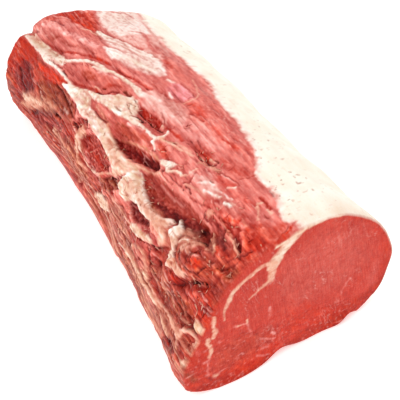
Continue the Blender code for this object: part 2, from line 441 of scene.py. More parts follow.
    def place(self, along: float, station: float) -> tuple[float, float]:
        """Surface coordinates in millimetres of one place on the skin."""
        return along * self.length / MM, float(self.girth(station))

    def turn(self, station: np.ndarray, knot: float) -> np.ndarray:
        """Stations from a knot, the short way round."""
        return np.mod(station - knot + self.stations / 2, self.stations) - self.stations / 2

    def relief(self, along: np.ndarray, station: np.ndarray) -> np.ndarray:
        """Height of the solid's own relief, in metres."""
        size, waves_along, waves_round = self.uneven
        height = size * np.sin(2 * np.pi * waves_along * along
                               + 1.3 * np.sin(2 * np.pi * waves_round * station))
        for place, knot, lift, reach_along, reach_round in self.broad:
            turn = self.turn(station, knot)
            height += lift * np.exp(-((along - place) / reach_along) ** 2 - (turn / reach_round) ** 2)
        u, v = self.surface(along, station)
        for forms, sign in ((self.ridges, 1.0), (self.hollows, -1.0)):
            for path, half_width, lift in forms:
                reach, _ = path_distance(u, v, [self.place(*corner) for corner in path])
                height += sign * lift * np.exp(-(reach / half_width) ** 2)
        return height * MM

    def lips(self, station: np.ndarray, forms: tuple) -> np.ndarray:
        """How far a cut stands out round its edge, in metres."""
        total = np.zeros(station.shape)
        for knot, length, reach in forms:
            total += length * MM * np.exp(-(self.turn(station, knot) / reach) ** 2)
        return total

    def near_plane(self, _: np.ndarray, z: np.ndarray) -> np.ndarray:
        """Y of the near cut, in metres."""
        return self.near_lean * (z - self.near_top) - 0.5 * self.length

    def far_plane(self, x: np.ndarray, _: np.ndarray) -> np.ndarray:
        """Y of the far cut, in metres."""
        return 0.5 * self.length - self.far_draw_back - self.far_slant * x

    def skin(self, along: np.ndarray, station: np.ndarray, lift: np.ndarray | float = 0.0) -> np.ndarray:
        """Points of the skin.

        Args:
            along: From 0 at the near cut to 1 at the far cut.
            station: Knot of the outline.
            lift: Finer relief over the solid's own, in metres.

        Returns:
            Points (x, y, z) in the loft's coordinates, in metres.
        """
        flat = self.section(along, station)
        tangent = self.section(along, station + 0.02) - self.section(along, station - 0.02)
        outward = np.stack([-tangent[..., 1], tangent[..., 0]], axis=-1)
        outward /= np.linalg.norm(outward, axis=-1, keepdims=True)
        fade = unit(flat[..., 1] / self.base_fade)
        place, knot, depth, reach_along, reach_round = self.waist
        turn = self.turn(station, knot)
        drawn = depth * MM * np.exp(-((along - place) / reach_along) ** 2 - (turn / reach_round) ** 2)
        flat = flat + outward * ((self.relief(along, station) + lift - drawn) * fade)[..., None]
        ground = np.zeros(along.shape)
        for place, height, half_width in self.arches:
            fall = ((flat[..., 0] / MM - place) / half_width) ** 2 + (along / self.arch_depth) ** 2
            ground = np.maximum(ground, height * MM * np.exp(-fall))
        flat[..., 1] = np.maximum(flat[..., 1], ground)
        near_y = self.near_plane(flat[..., 0], flat[..., 1]) - self.lips(station, self.near_lips)
        far_y = self.far_plane(flat[..., 0], flat[..., 1]) + self.lips(station, self.far_lips)
        y = near_y * (1 - along) + far_y * along
        return np.stack([flat[..., 0], y, flat[..., 1]], axis=-1)

    @cached_property
    def middle(self) -> np.ndarray:
        """Middle of the joint's box on the floor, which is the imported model's origin."""
        along, station = np.meshgrid(np.linspace(0, 1, 62), np.linspace(0, self.stations, 200), indexing="ij")
        points = self.skin(along, station).reshape(-1, 3)
        low, high = points.min(axis=0), points.max(axis=0)
        return np.array([(low[0] + high[0]) / 2, (low[1] + high[1]) / 2, 0.0])


@dataclass(frozen=True)
class View:
    """The photograph's camera, in the loft's coordinates."""

    azimuth: float = -21.0
    elevation: float = 45.5
    roll: float = 11.0
    distance: float = 1.15
    lens: float = 121.0
    sensor: float = 36.0
    target: tuple[float, float, float] = (-0.007, -0.064, 0.065)
    frame_px: float = 400.0

    @property
    def axes(self) -> tuple[np.ndarray, np.ndarray, np.ndarray]:
        """Directions across and up the picture, and back towards the camera."""
        a, e, r = (math.radians(angle) for angle in (self.azimuth, self.elevation, self.roll))
        back = np.array([math.sin(a) * math.cos(e), -math.cos(a) * math.cos(e), math.sin(e)])
        right = np.array([math.cos(a), math.sin(a), 0.0])
        up = np.cross(back, right)
        return right * math.cos(r) - up * math.sin(r), right * math.sin(r) + up * math.cos(r), back

    @property
    def place(self) -> np.ndarray:
        """Where the camera stands."""
        return np.array(self.target) + self.axes[2] * self.distance

    def pixels(self, points: np.ndarray) -> tuple[np.ndarray, np.ndarray]:
        """Pixels (x, y) at which points show, and their distances in front of the camera."""
        across, upright, back = self.axes
        ray = points - self.place
        depth = -(ray @ back)
        scale = self.frame_px * self.lens / self.sensor / depth
        half = 0.5 * self.frame_px
        return np.stack([half + ray @ across * scale, half - ray @ upright * scale], axis=-1), depth


class Sight:
    """The sight lines of the photograph: each pixel's place on the joint's skin."""

    SEEN = (-0.6, 9.6)      # stations that the camera can see
    SAME_SPOT_PX = 1.3      # places that show this near a pixel count as its own
    SAME_DEPTH = 0.010      # and are on the same surface if no deeper apart, in metres

    def __init__(self, view: View, loft: Loft) -> None:
        """Project the skin that can be seen.

        Args:
            view: The photograph's camera.
            loft: The joint's main form.
        """
        self.loft = loft
        rows, columns = np.linspace(0.0, 1.0, 300), np.linspace(*self.SEEN, 340)
        self.along, self.station = np.meshgrid(rows, columns, indexing="ij")
        points = loft.skin(self.along, self.station)
        self.spots, self.depth = view.pixels(points)
        outward = np.cross(np.gradient(points, axis=1), np.gradient(points, axis=0))
        self.faces = (outward * (view.place - points)).sum(axis=-1) > 0.0
        self.found: dict[tuple[float, float], tuple[float, float]] = {}

    def place(self, px: float, py: float) -> tuple[float, float]:
        """Surface coordinates in millimetres of the skin that shows at a pixel."""
        if (px, py) not in self.found:
            reach = np.hypot(self.spots[..., 0] - px, self.spots[..., 1] - py)
            reach = np.where(self.faces, reach, np.inf)
            near = reach < max(self.SAME_SPOT_PX, float(reach.min()) + 0.3)
            front = near & (self.depth < self.depth[near].min() + self.SAME_DEPTH)
            spot = np.unravel_index(np.argmin(np.where(front, reach, np.inf)), reach.shape)
            self.found[px, py] = self.loft.place(float(self.along[spot]), float(self.station[spot]))
        return self.found[px, py]


# Marks that lie out of the photograph's sight, from the far end to the near cut. Paths are along,station.
REGIONS: list[Mark] = [
    Patch(BRICK, "-0.05,-1.2 -0.05,2.2 0.1,2.5 0.3,2.6 0.5,2.4 0.7,2.2 1.05,2 1.05,-1.2", 14),
    Patch(ROSE, "0.95,-1 0.7,0.9 0.4,0.6 0.1,1.2 -0.05,0.4 0.2,-1.2", 20, strength=0.7),
    Patch(CLAY, "0.6,0.2 0.4,1.1 0.16,1.3 0.02,0.5 0.3,-0.2", 12, strength=0.7),
    Patch(LEAN, "0,2.3 0,3.6 0.12,3.4 0.3,3.1 0.52,3.3 0.5,2.6 0.2,2.4", 9, strength=0.75),
    Patch(BRICK, "1.05,1 1.05,3.9 0.93,3.92 0.8,3.9 0.74,3.4 0.8,2 0.9,1", 9),
    Patch(BRICK, "-0.03,3 -0.03,5.4 0.045,5.4 0.055,4.4 0.05,3", 7),
    Patch(LEAN, "-0.03,4.9 -0.03,6.5 0.045,6.4 0.05,4.9", 7),
    Stroke(BROWN, "0.46,0.95 0.4,1 0.37,0.9 0.31,0.85 0.23,0.85 0.19,0.95", 2, 5, -0.3, 0.8),
    Stroke(SAND, "0.8,0.6 0.66,0.9 0.52,0.6", 2, 5, 0.3, 0.8),
    Stroke(MAROON, "0.7,0.2 0.6,0.4 0.5,0.2", 1.2, 3, -0.6, 0.8),
]

# What the photograph shows, region by region. Paths are the photograph's pixels in a frame of 400 x 400.
CAP: list[Mark] = [
    # film over the far end of the cap
    Patch(VEIL, "96,12 104,8 140,8 152,28 164,45 172,56 160,60 140,50 122,42 104,30", 6),
    Patch(FILM, "98,12 104,9 136,9 143,24 150,34 138,34 122,36 108,30 100,22", 5),
    Stroke(PINK, "112,12 124,13 133,18", 1.6, 2.6, strength=0.8),
    Stroke(SAND, "117,20 126,22", 0.6, 1.6, strength=0.7),
    Stroke(PINK, "104,28 110,35 118,39 126,43 133,46 142,49", (1.4, 2.4), 2.6, -0.3),
    Stroke(PINK, "132,31 142,33 148,38 152,47 158,53", (1.2, 4), 4),
    Stroke(ROSE, "158,48 164,54 172,64 180,74 188,80", (2.6, 5), 6, 0.3),
    Stroke(RED, "164,57 168,62 172,68", 2, 3.4, strength=0.8),
    Stroke(BRICK, "162,37 165,42 169,47", 0.9, 1.6, -0.8),
    Stroke(CREAM, "98,32 107,39 115,43 122,47 132,50 140,53 150,57 158,60", (2.2, 1.4), 2.4, 0.4),
    Patch(FILM, "103,47 115,49 128,53 142,56 156,60 164,66 166,75 158,77 150,71 138,66 126,61 112,59", 4),
    Stroke(CREAM, "112,52 124,57 136,61 146,67 154,71", (1.4, 2.4), 3, 0.4),
    Stroke(ROSE, "108,43 116,48 124,52 132,53", 0.8, 1.8, -0.4),
    Stroke(PINK, "114,60 126,65 138,71 152,77 160,82", (2, 3.4), 4),
    Stroke(SCARLET, "117,69 125,75 133,79 141,83 147,87 150,89", (1.1, 2.2), 2, -0.6),
    Stroke(MAROON, "116,68 122,73 129,77", 0.5, 1.4, -0.4, 0.7),
    Stroke(MAROON, "145,87 149,90", 0.7, 1.6, -0.4, 0.8),
    Stroke(LEAN, "152,84 157,89", 1, 2, -0.3, 0.8),
    Patch(ORCHID, "170,84 181,84 190,90 193,98 184,101 175,98 166,90", 5, 0.4),
    # painted highlights: two soft white glints on the wet cap
    Stroke(CREAM, "168,80 173,83", 1, 2.6, 0.1, 0.7),
    Stroke(FILM, "169,94 173,98", 0.9, 2.6, 0.1, 0.7),
    Stroke(LEAN, "161,93 166,96", 1, 2, -0.3),
    Stroke(BROWN, "167,97 170,99", 0.6, 1.4, -0.3, 0.8),
    Stroke(BROWN, "172,102 175,102", 0.6, 1.6, -0.3, 0.7),
    Patch(VEIL, "140,92 152,90 166,98 180,104 190,118 182,126 166,116 150,104", 7, strength=0.8),
    Stroke(LEAN, "181,84 187,88 192,92", 0.8, 2.4, -0.3, 0.8),
    Stroke(PEACH, "194.5,80 196,88 198,94 196,98 190,101 183,104", (0.35, 0.6), 1.4, 0.3, 0.75),
    Stroke(BRICK, "193,93 193,97 189,99", 0.5, 1.4, -0.3, 0.7),
    Patch(SCARLET, "186,103 196,102 205,108 208,117 200,120 192,113", 7, strength=0.75),
    Stroke(BROWN, "188,106 193,103", 0.5, 1.6, -0.3, 0.7),
    Stroke(BRICK, "191,113 197,118 204,122", 0.6, 1.6, -0.4, 0.8),
    Stroke(BRICK, "187,117 195,121", 0.6, 1.8, -0.4, 0.6),
    Patch(BLUSH, "184,118 204,125 212,137 220,150 206,152 194,142 182,130", 9),
    Stroke(SCARLET, "203,120 212,128 220,135 228,142 236,149", (1.4, 2.4), 5, strength=0.85),
    Stroke(BLUSH, "213,111 220,116 226,121 232,126 238,128", 0.6, 1.4, 0.3),
    Stroke(LEAN, "221,116 224,119", 0.5, 1.2, -0.3),
    Stroke(LEAN, "227,121 231,125", 0.6, 1.4, -0.3),
    Stroke(ROSE, "218,100 226,108 234,120 244,134 251,148", 2, 5, strength=0.8),
    Stroke(ROSE, "234,151 241,156", 0.7, 2, -0.3, 0.8),
    Stroke(ROSE, "243,149 251,153", 0.7, 2, -0.3, 0.8),
    Patch(RED, "220,158 232,160 241,167 251,171 252,176 240,177 228,173 221,167", 7, strength=0.7),
    Stroke(DEEP, "221,172 225,176 230,178 235,181 239,185", (0.6, 0.8), 2.2, -1, 0.75),
    Stroke(BLUSH, "222,175 228,179 234,183", 0.5, 1.4, 0.4),
    Stroke(LEAN, "240,178 248,177.5 255,175.5", 0.6, 1.8, -0.5),
    # fibrous notch in the middle of the cap
    Patch(LEAN, "196,142 204,146 212,152 216,162 206,162 198,154 190,146", 5),
    Stroke(MAROON, "190,141 196,148 202,154 207,160", (0.4, 0.8), 1.6, -0.8, 0.85),
    Stroke(MAROON, "194,150 199,157 203,161", (0.4, 0.8), 1.3, -0.7),
    Stroke(MAROON, "198,141 202,148 206,154", (0.4, 0.6), 1.3, -0.6),
    Stroke(DEEP, "187,143 193,150 197,156", 0.4, 1.3, -0.5, 0.8),
    Stroke(RED, "203,153 207,157 210,161", 1.8, 2.6, -0.4),
    Stroke(MAROON, "205,161 210,164.5 214,166 217,164", (0.6, 0.7), 1.8, -1, 0.8),
    Stroke(PEACH, "211,160 215,163", 0.9, 1.4, 0.4),
    Stroke(BROWN, "216,159 219,163", 0.6, 1.4, -0.5),
    Stroke(SAND, "199,163 206,165 212,168 218,171", (1.2, 1.6), 2.4, 0.3),
    Patch(VEIL, "196,176 208,178 220,184 222,196 212,197 202,190", 6, strength=0.85),
    Stroke(FILM, "203,182 209,183 213,186", 1.2, 2.2, 0.3),
    Stroke(BROWN, "210,180 214,183", 0.5, 1.4, -0.4, 0.8),
    Stroke(CREAM, "209,192 213,195", 0.9, 1.6, 0.4),
    Stroke(CREAM, "228.5,187.6 236,187.4", 0.9, 1.3, 0.5),
    Patch(SCARLET, "214,172 223,178 237,184 234,187 226,186 222,190 217,182", 4, strength=0.7),
    Stroke(SCARLET, "226,190 236,196 248,202 258,204", 4, 8, strength=0.55),
    # painted highlight: a white glint
    Stroke(CREAM, "228.5,203.5 234,205", 1.3, 1.8, 0.4),
    Patch(VEIL, "218,196 228,198 240,206 246,214 236,216 224,208", 5, strength=0.6),
    Stroke(TALLOW, "217,196 221,199", 0.9, 1.6, 0.4),
    Stroke(UMBER, "217.5,197 218.5,198", 0.5, 1.2, -0.4),
    Stroke(UMBER, "224,204 229,207", 0.5, 1.4, -0.4, 0.7),
    Stroke(PINK, "250,186 256,194 260,203", 2.4, 5),
    Stroke(RED, "260,197 265,203 270,208", (1.3, 1.2), 2.6, -0.6),
    Stroke(MAROON, "270,190 274,197", 0.7, 1.8, -0.6, 0.8),
    Stroke(PEACH, "268,210 273,213", 1.1, 1.8, 0.5),
    Stroke(PEACH, "257,203.5 261,204", 0.8, 1.4, 0.4),
    Stroke(PEACH, "257,206 258,212 257.5,220", (0.9, 0.6), 1.6, 0.5, 0.8),
    Stroke(DEEP, "264,214 267,218", 0.7, 2, -0.4, 0.8),
    Stroke(PEACH, "242,219 246,226", 0.8, 1.8, 0.4, 0.7),
    Stroke(DEEP, "243,213 248,217", 0.6, 1.8, -0.4, 0.8),
    Stroke(DEEP, "249,222 252,228", 0.6, 2, -0.5, 0.7),
    Patch(LEAN, "244,226 262,222 276,226 280,236 276,246 262,252 246,256 242,240", 6),
    Patch(SCARLET, "247,242 258,238 269,240 266,247 256,253 246,255", 6, strength=0.85),
    Stroke(SCARLET, "223,218 231,221 239,222", (2, 1.8), 2.6),
    Stroke(SCARLET, "292,226 289,231 284,236", (1.2, 1.8), 1.4, -0.3),
    Stroke(RED, "284,236 279,241 274,247", (1.6, 1), 1.6, -0.2),
    Stroke(MAROON, "287,227 283,233 279,239", 0.5, 1.2, -0.6, 0.8),
]

CHAIN: list[Mark] = [
    # red muscle at the far end
    Patch(LEAN, "44,20 54,12 66,6 86,6 94,16 99,28 97,33 90,31 84,27 76,24 62,24 50,20", 3),
    Patch(RED, "58,14 70,9 82,12 90,18 95,27 90,29 82,24 70,21", 5),
    Stroke(BLUSH, "78,8 86,11", 1.8, 3, strength=0.7),
    Stroke(SCARLET, "78,22 86,26 95,31", (1.6, 1), 2.2),
    Stroke(BLUSH, "52,16 62,18 70,20", 0.9, 2, 0.3, 0.7),
    # upper muscle of the chain
    Patch(PINK, "40,25 46,22 54,25 64,27 78,26 90,31 97,37 103,47 108,56 112,64 104,63 96,60 82,57 70,57 "
          "62,54 54,50 48,45 43,40 40,33", 2.4, 0.7),
    Stroke(BLUSH, "66,33 76,36 86,41 96,47", (3, 3.4), 5, 0.3),
    Stroke(BLUSH, "42,25 50,28 60,29", 1.4, 2.4, 0.3, 0.8),
    Patch(BRICK, "42,30 50,30 58,32 60,38 55,43 48,41 42,35", 6, strength=0.8),
    Stroke(BRICK, "62,42 68,45 75,46", 1.6, 4, strength=0.7),
    Stroke(BRICK, "78,46 85,49 92,53", 1.4, 4, strength=0.6),
    Stroke(RED, "48,44 54,48 62,51.5 70,53 78,54 86,55.5 94,57.5 102,60 110,64", (1.4, 1.6), 3),
    Stroke(SCARLET, "66,52.5 76,54", 1.3, 2),
    Stroke(SCARLET, "90,57 98,59.5 107,63", 1.1, 2),
    Stroke(ROSE, "84,32 90,36 97,41", 1.3, 2.4, -0.2),
    # painted highlight: a pale line along the film
    Stroke(PEACH, "82,29 90,31.5 97,35", 0.7, 1.6, 0.5),
    Stroke(MAROON, "51,20 57,22 64,25", 0.7, 1.6, -0.7),
    Stroke(CLAY, "29,31.5 34,32", 1.4, 2, 0.4),
    Stroke(UMBER, "36,31 40,33", 0.8, 1.4, -0.5),
    # lower muscle of the chain
    Patch(ROSE, "65,68 72,65 86,65 92,69 100,73 108,75 115,77 122,83 128,89 134,96 128,97 124,92 116,92 "
          "108,95 104,96 98,94 90,91 82,89 76,87 72,82 68,76", 2.4, 0.7),
    Patch(PINK, "66,68 80,66 84,70 80,78 74,81 70,77", 5),
    Patch(BRICK, "83,71 92,73 99,77 97,81 88,81 83,77", 4, strength=0.85),
    Stroke(BLUSH, "101,72 109,75 116,79", (2, 1.6), 4),
    Stroke(RED, "74,83 80,85.5 88,87.5 94,89.5 98,92", (1.2, 1.8), 2.6),
    Stroke(LEAN, "106,88 114,86 122,87", 2, 4),
    Stroke(WINE, "97,93 104,95.5", 1, 1.6, -0.9),
    Stroke(DEEP, "108,94 113,91.5 118,92", 0.9, 1.8, -0.5),
    Stroke(BROWN, "125,91 131,96", 1.3, 2, -0.4),
    Stroke(PEACH, "97,87 100,90", 1, 1.6, 0.3),
    Stroke(BROWN, "104,88 106,89.5", 0.7, 1.3, -0.4),
    # fat seam from the far end and its upper branch
    Patch(CREAM, "25,36 36,34 42,41 48,45 54,52 61,55 66,58 62,66 53,62 46,59 40,54 36,50 32,44", 1.8, 0.4),
    Stroke(CREAM, "31,38 38,45 45,49 51,54 60,59", (2, 1.6), 2, 0.4),
    Stroke(VEIL, "52,60 58,63", 1.4, 2.4, 0.1),
    Stroke(BROWN, "49,59.5 55,64 58,67 63,68", 0.4, 1.2, -0.5, 0.8),
    Stroke(CREAM, "42,55 48,61 55,66.5 61,71 66,77 69,83 72,88", (1.5, 1.3), 1.5, 0.4),
    Stroke(MAROON, "64,71 68,76", 0.5, 1.3, -0.5, 0.8),
    Stroke(PEACH, "56,80 62,83 67,86", 1.7, 2.2, 0.3),
    Stroke(CREAM, "60,58.5 66,60.5 72,61 80,60.8 88,61.3 94,63 100,66.5 107,70.5 "
           "113,72.5", (1.8, 2), 1.6, 0.5),
    Stroke(CREAM, "113,72.5 119,76 125,80 131,84 136,89 141,95", (1.8, 2.6), 2.2, 0.5),
    Stroke(FILM, "141,94 149,97 158,101", (2.4, 2.6), 4, 0.2, 0.85),
    Stroke(SAND, "90,65.5 95,65.8", 0.7, 1.4, -0.2),
    Stroke(CREAM, "93,67 100,70 106,72", 1.3, 2.2, 0.2, 0.8),
]

LOBE: list[Mark] = [
    Patch(BRICK, "20,36 28,42 34,50 42,60 52,70 62,80 67,88 71,98 76,110 76,119 60,122 42,120 28,112 16,106 "
          "9,90 4,70 5,55 12,44", 3, 0.8),
    Patch(SCARLET, "17,37 24,38 29,44 30,50 24,51 18,47", 4, strength=0.85),
    Stroke(CLAY, "20,47 20.5,54 22,60", 0.8, 1.6, 0.3),
    Stroke(RED, "29,54 33,57 36,61 40,66", (1.4, 1.8), 2.4),
    Stroke(CLAY, "33,50 36,56", 0.8, 1.6, 0.3),
    # painted shade: a dark band on the far end, where it lies in shadow
    Patch(WINE, "22,54 29,56 31,66 30,76 31,88 29,94 22,91 20,78 22,66", 5, -0.8),
    Stroke(UMBER, "12,56 11,65 12,73", 1.2, 2.4, -0.3, 0.8),
    Stroke(DEEP, "15,75 17,88 20,98", (2, 2.6), 3.6),
    Stroke(RED, "17,86 18,94", 1.2, 2.2),
    Stroke(LEAN, "16,60 18,70", 2.2, 3.2),
    Stroke(LEAN, "34,68 38,80 40,92", (3, 3.4), 5),
    Stroke(RED, "34,80 38,87", 1.4, 2.6),
    Stroke(SCARLET, "40,68 46,70.5 52,73 58,77 63,80.5 67,83", (2, 1), 2.2, 0.2),
    Stroke(MAROON, "44,77 49,79 54,82", 1, 2.4, -0.6, 0.8),
    Stroke(ROSE, "44,85 45,90", 1.3, 2.4),
    Stroke(DEEP, "50,86 56,96 62,106", (1.8, 2.6), 4),
    Stroke(MAROON, "55,94 61,103", 1, 2.6, -0.3, 0.8),
    Stroke(WINE, "55,83 59,88 63,92 65,98 68,104 71,110 73,117", (0.8, 1.1), 1.8, -1.3),
    Stroke(CLAY, "66,94 70,100 73,105", 0.8, 1.4, 0.3),
    Stroke(MAROON, "72,101 75,107 76,114", 0.7, 1.6, -0.7),
    Patch(SAND, "24,97 35,99 43,103 41,109 33,110 27,108 21,103", 5, 0.3, 0.85),
    Patch(BROWN, "36,109 50,107 55,112 52,119 42,119", 4, -0.3),
    Stroke(UMBER, "31,110 35,115 38,120", 0.8, 1.6, -0.8),
    Stroke(UMBER, "42,111 45,117", 0.7, 1.6, -0.7),
    Stroke(UMBER, "48,112 53,119", 0.7, 1.8, -0.6, 0.8),
    Stroke(RED, "33,118 38,122", 1.4, 2.2),
    Stroke(FILM, "66,109.5 68.5,113", 1.5, 2, 0.4),
    Stroke(CLAY, "60,116 66,119 72,121", 1.4, 2.4),
    # ragged lean under the lobe
    Patch(BRICK, "36,122 60,118 76,122 84,134 86,150 82,164 74,160 66,150 54,140 42,130", 6, strength=0.9),
    Stroke(DEEP, "61,121 65,128 68,136 70,142", 1.3, 2.4),
    Stroke(MAROON, "63,121 67,128 72,137 75,143", 0.7, 1.6, -0.8),
    Stroke(MAROON, "50,124 56,131 62,140", 0.6, 2, -0.7, 0.8),
    Stroke(SAND, "46,124 53,133 60,142 66,150", 0.8, 2.4, 0.4, 0.8),
    # a small hole, darkened with painted shade, with painted shadow in its slit
    Patch(DEEP, "78,118 84,117 89,121 87,127 80,130 75,126", 2, -0.6),
    Stroke(CREVICE, "74,124 77,127 79,130", 1, 1.6, -1.4),
    Stroke(UMBER, "82,118.5 88,122", 0.8, 1.6, -0.8),
    Stroke(CLAY, "82,124 86,127", 0.5, 1.4, 0.3, 0.7),
    Stroke(VEIL, "76,131 80,136", 1.2, 2, 0.4),
    Stroke(WINE, "70,151 72.7,156 74.3,160.7 75.3,165.3 76.3,170", (0.7, 0.9), 1.4, -1.5),
    Stroke(UMBER, "79.3,167.5 79.3,172.5", 0.7, 1.4, -0.8),
    Stroke(RED, "70.5,162 71.5,164", 1.3, 2, 0.2),
    Stroke(SAND, "78,146 80,156 82,166", 0.9, 2.2, 0.4, 0.8),
]

BLADE: list[Mark] = [
    # fat knot beside the pit, and the fat that runs to it
    Patch(CREAM, "95,95 108,96 118,94 127,97 134,96 139,101 139,108 137,115 140,120 143,126 135,126 124,119 "
          "113,113 103,106 95,101", 2.4, 0.4),
    Stroke(CREAM, "131,100 134,106 133,112", (2.4, 2), 2, 0.8),
    Stroke(CREAM, "121,112 127,116", 1.8, 2, 0.3),
    Stroke(PEACH, "110,101 116,104 122,103", 1.6, 3, 0, 0.7),
    Stroke(BROWN, "115,106 118,109 121.5,111.5", 0.6, 1.4, -0.4, 0.8),
    Stroke(BROWN, "127,104 129,110 132.5,115", 0.4, 1.1, -0.6, 0.8),
    Stroke(BROWN, "129,103 133,104.5 136,106", 0.4, 1.1, -0.4, 0.8),
    Stroke(BROWN, "134,99 138,103", 0.4, 1.1, -0.5, 0.8),
    # long muscle over the blade's bed
    Patch(ROSE, "91,98 97,101 104,105 113,112 122,118 133,124 142,128 148,133 152,139 154,148 150,151 "
          "140,148 128,144 118,141 113,136 109,127 103,121 96,115 92,107", 2.6, 0.8),
    Stroke(PINK, "94,103 102,108 110,114", (1.8, 2.2), 3.4),
    Stroke(BROWN, "95,112 99,116 103,119.5 108,122", 0.7, 1.6, -0.8),
    Patch(BRICK, "116,122 125,125 134,130 142,137 140,144 128,142 117,137", 6, strength=0.85),
    Stroke(BROWN, "118,122 124,126 130,129", 0.6, 2, -0.3, 0.7),
    Stroke(BROWN, "121,134 128,139 134,141", 0.6, 2, -0.3, 0.7),
    Stroke(BLUSH, "128,124 136,127 143,131", 1.1, 2.4),
    Stroke(LEAN, "143,135 148,140 150,146", 1.8, 3.6),
    # bed of the blade: dark lean with painted shade, deepest in painted shadow along its lower edge
    Patch(DEEP, "113,139 122,142 128,144 134,146.5 141,149.5 147,153 153,157 159.5,161 160.5,168.5 157,171 "
          "151,169.5 146,166.5 140,163.5 134,161 129,157 124,153 118,150 112,146", 1.8, -1),
    Patch(MAROON, "122,147 132,150 142,154 152,159 159,163 159.5,169 151,168 142,163 132,158 "
          "125,153", 3, -0.6),
    Patch(WINE, "144,157 152,159 158,163 159,169 151,168 144,164", 3.5, strength=0.8),
    Stroke(CREVICE, "123,152.5 128,156 133,160 139,162.5", (0.6, 0.7), 1.3, -1, 0.8),
    Stroke(CLAY, "122,141 130,143.5 138,146.5 146,150 152,154 158,159", (0.9, 1.4), 2.2, 0.6),
    Stroke(APRICOT, "117,152 124,157.5 131,162 138,166 145,170 152,173 160,175", (1.2, 1.8), 2.4, 0.9),
    # painted highlight along the top of the ridge
    Stroke(PEACH, "124,158.5 131,163 140,168 148,171.5 156,175", 0.6, 1.4, 0.3),
    Stroke(MAROON, "136,169.5 139,174 140.5,179", 0.5, 1.3, -0.7),
    # red pit in the cap, with painted shadow in the near-black lines along its lower edge
    Patch(VEIL, "142,100 152,97 164,104 168,116 166,124 158,114 150,108 143,106", 5, strength=0.7),
    Patch(RED, "140,106 144,107 148,112 153,114 157,117 161,122 162,126 157,129 151,126 147,122 143,117 "
          "140,112", 1.8, -1),
    Stroke(SCARLET, "142,107 144,112 148,115", 0.9, 1.8),
    Stroke(MAROON, "150,116 154,122 158,126", 1, 3, -0.3, 0.6),
    Stroke(CREVICE, "141.5,113 144,118 148,122.5 152,126", (0.4, 0.7), 1.1, -1.4),
    Stroke(CREVICE, "138,117 141,120.5 144,123", (0.9, 0.5), 1.3, -1.4),
    Stroke(DEEP, "133,116 138,117", 1, 1.8, -0.4),
    Stroke(WINE, "156,129 160,131 163,132", 0.7, 1.4, -1.1),
    Stroke(BRICK, "161,112 163.5,117 164,123", 0.6, 1.8, -0.3, 0.8),
    Stroke(TALLOW, "162,125.5 162.5,129", 0.8, 1.3, 0.5),
    Stroke(SCARLET, "166,127.5 170,128.5 174,133.5 178,137.5 182,140", (1.2, 1.5), 2.4, -0.3),
    # branching fat
    Stroke(CREAM, "142,126.5 147,131 151,135.5 155,138 160,138", (0.9, 1.7), 1.3, 0.8),
    Stroke(CREAM, "160,138 165,137 168.5,134 169,132", (1.7, 0.8), 1.3, 0.6),
    Stroke(CREAM, "155.5,138 154,142 154,147 155,150", (1.5, 0.5), 1.2, 0.7),
    Stroke(MAROON, "153,149.5 156,152.5", 0.4, 1.2, -0.6),
    Stroke(PEACH, "161,139 168,142 176,146 184,150.5 192,156", (1.4, 0.7), 1.8, 0.5),
    Stroke(PEACH, "176,142 184,147 191,152", 0.5, 1.6, 0.3, 0.7),
    Stroke(BROWN, "165,139 170,142.5 177,144", 0.4, 1.4, -0.4, 0.8),
    Patch(LEAN, "157,141.5 162,143 167,147 170,153 168,159 162,159 158,150", 2.6, 0.4),
    Stroke(DEEP, "163,149 166,151", 0.7, 1.6, -0.4),
    Stroke(DEEP, "166,154.5 168,158.5", 0.8, 1.6, -0.5),
    Patch(CREAM, "160.3,161 167.3,160.5 172.7,161.3 176,164.3 172.7,166.9 169.3,169.4 167,169.3 166,166 "
          "161.3,164", 1.2, 0.9),
    Stroke(BROWN, "170,167.8 175,167.3", 0.3, 1, -0.3, 0.8),
    Stroke(TALLOW, "167.5,170 172.7,172.3 180.7,173.7 182,175", (0.8, 1.1), 1.4, 0.7),
    Stroke(PEACH, "182,176 187.3,174.7 192,172 197,169", 0.7, 1.3, 0.6),
    Stroke(DEEP, "185,182 188.7,181.3 191.3,179.3 193.3,176 196,171.5", (1.1, 0.4), 2, -1, 0.75),
    Stroke(MAROON, "169.7,174.3 172.7,178.7 175.3,182.7 178,184.7 181.3,186.3", 0.5, 1.8, -1, 0.7),
    Stroke(BROWN, "163,170.5 162,172 164.7,177.3 168,181.3 171.3,184.7", 0.6, 1.8, -0.7, 0.75),
    Stroke(UMBER, "162,170 164,171", 0.9, 1.4, -0.6),
    Stroke(UMBER, "183,190 183.6,190.8", 0.7, 1.4, -0.6),
    Stroke(MAROON, "185.3,186 188.7,189.3 190.7,193.3", 0.6, 1.4, -0.7),
    Stroke(DEEP, "189.3,197.3 194,200.7 200,201.3 204,204.7 210,208.7", (0.9, 0.5), 2.2, -0.9, 0.8),
    Stroke(SAND, "186,184 194,188 202,192 206,198", (1, 0.6), 2.4, 0.4, 0.7),
]

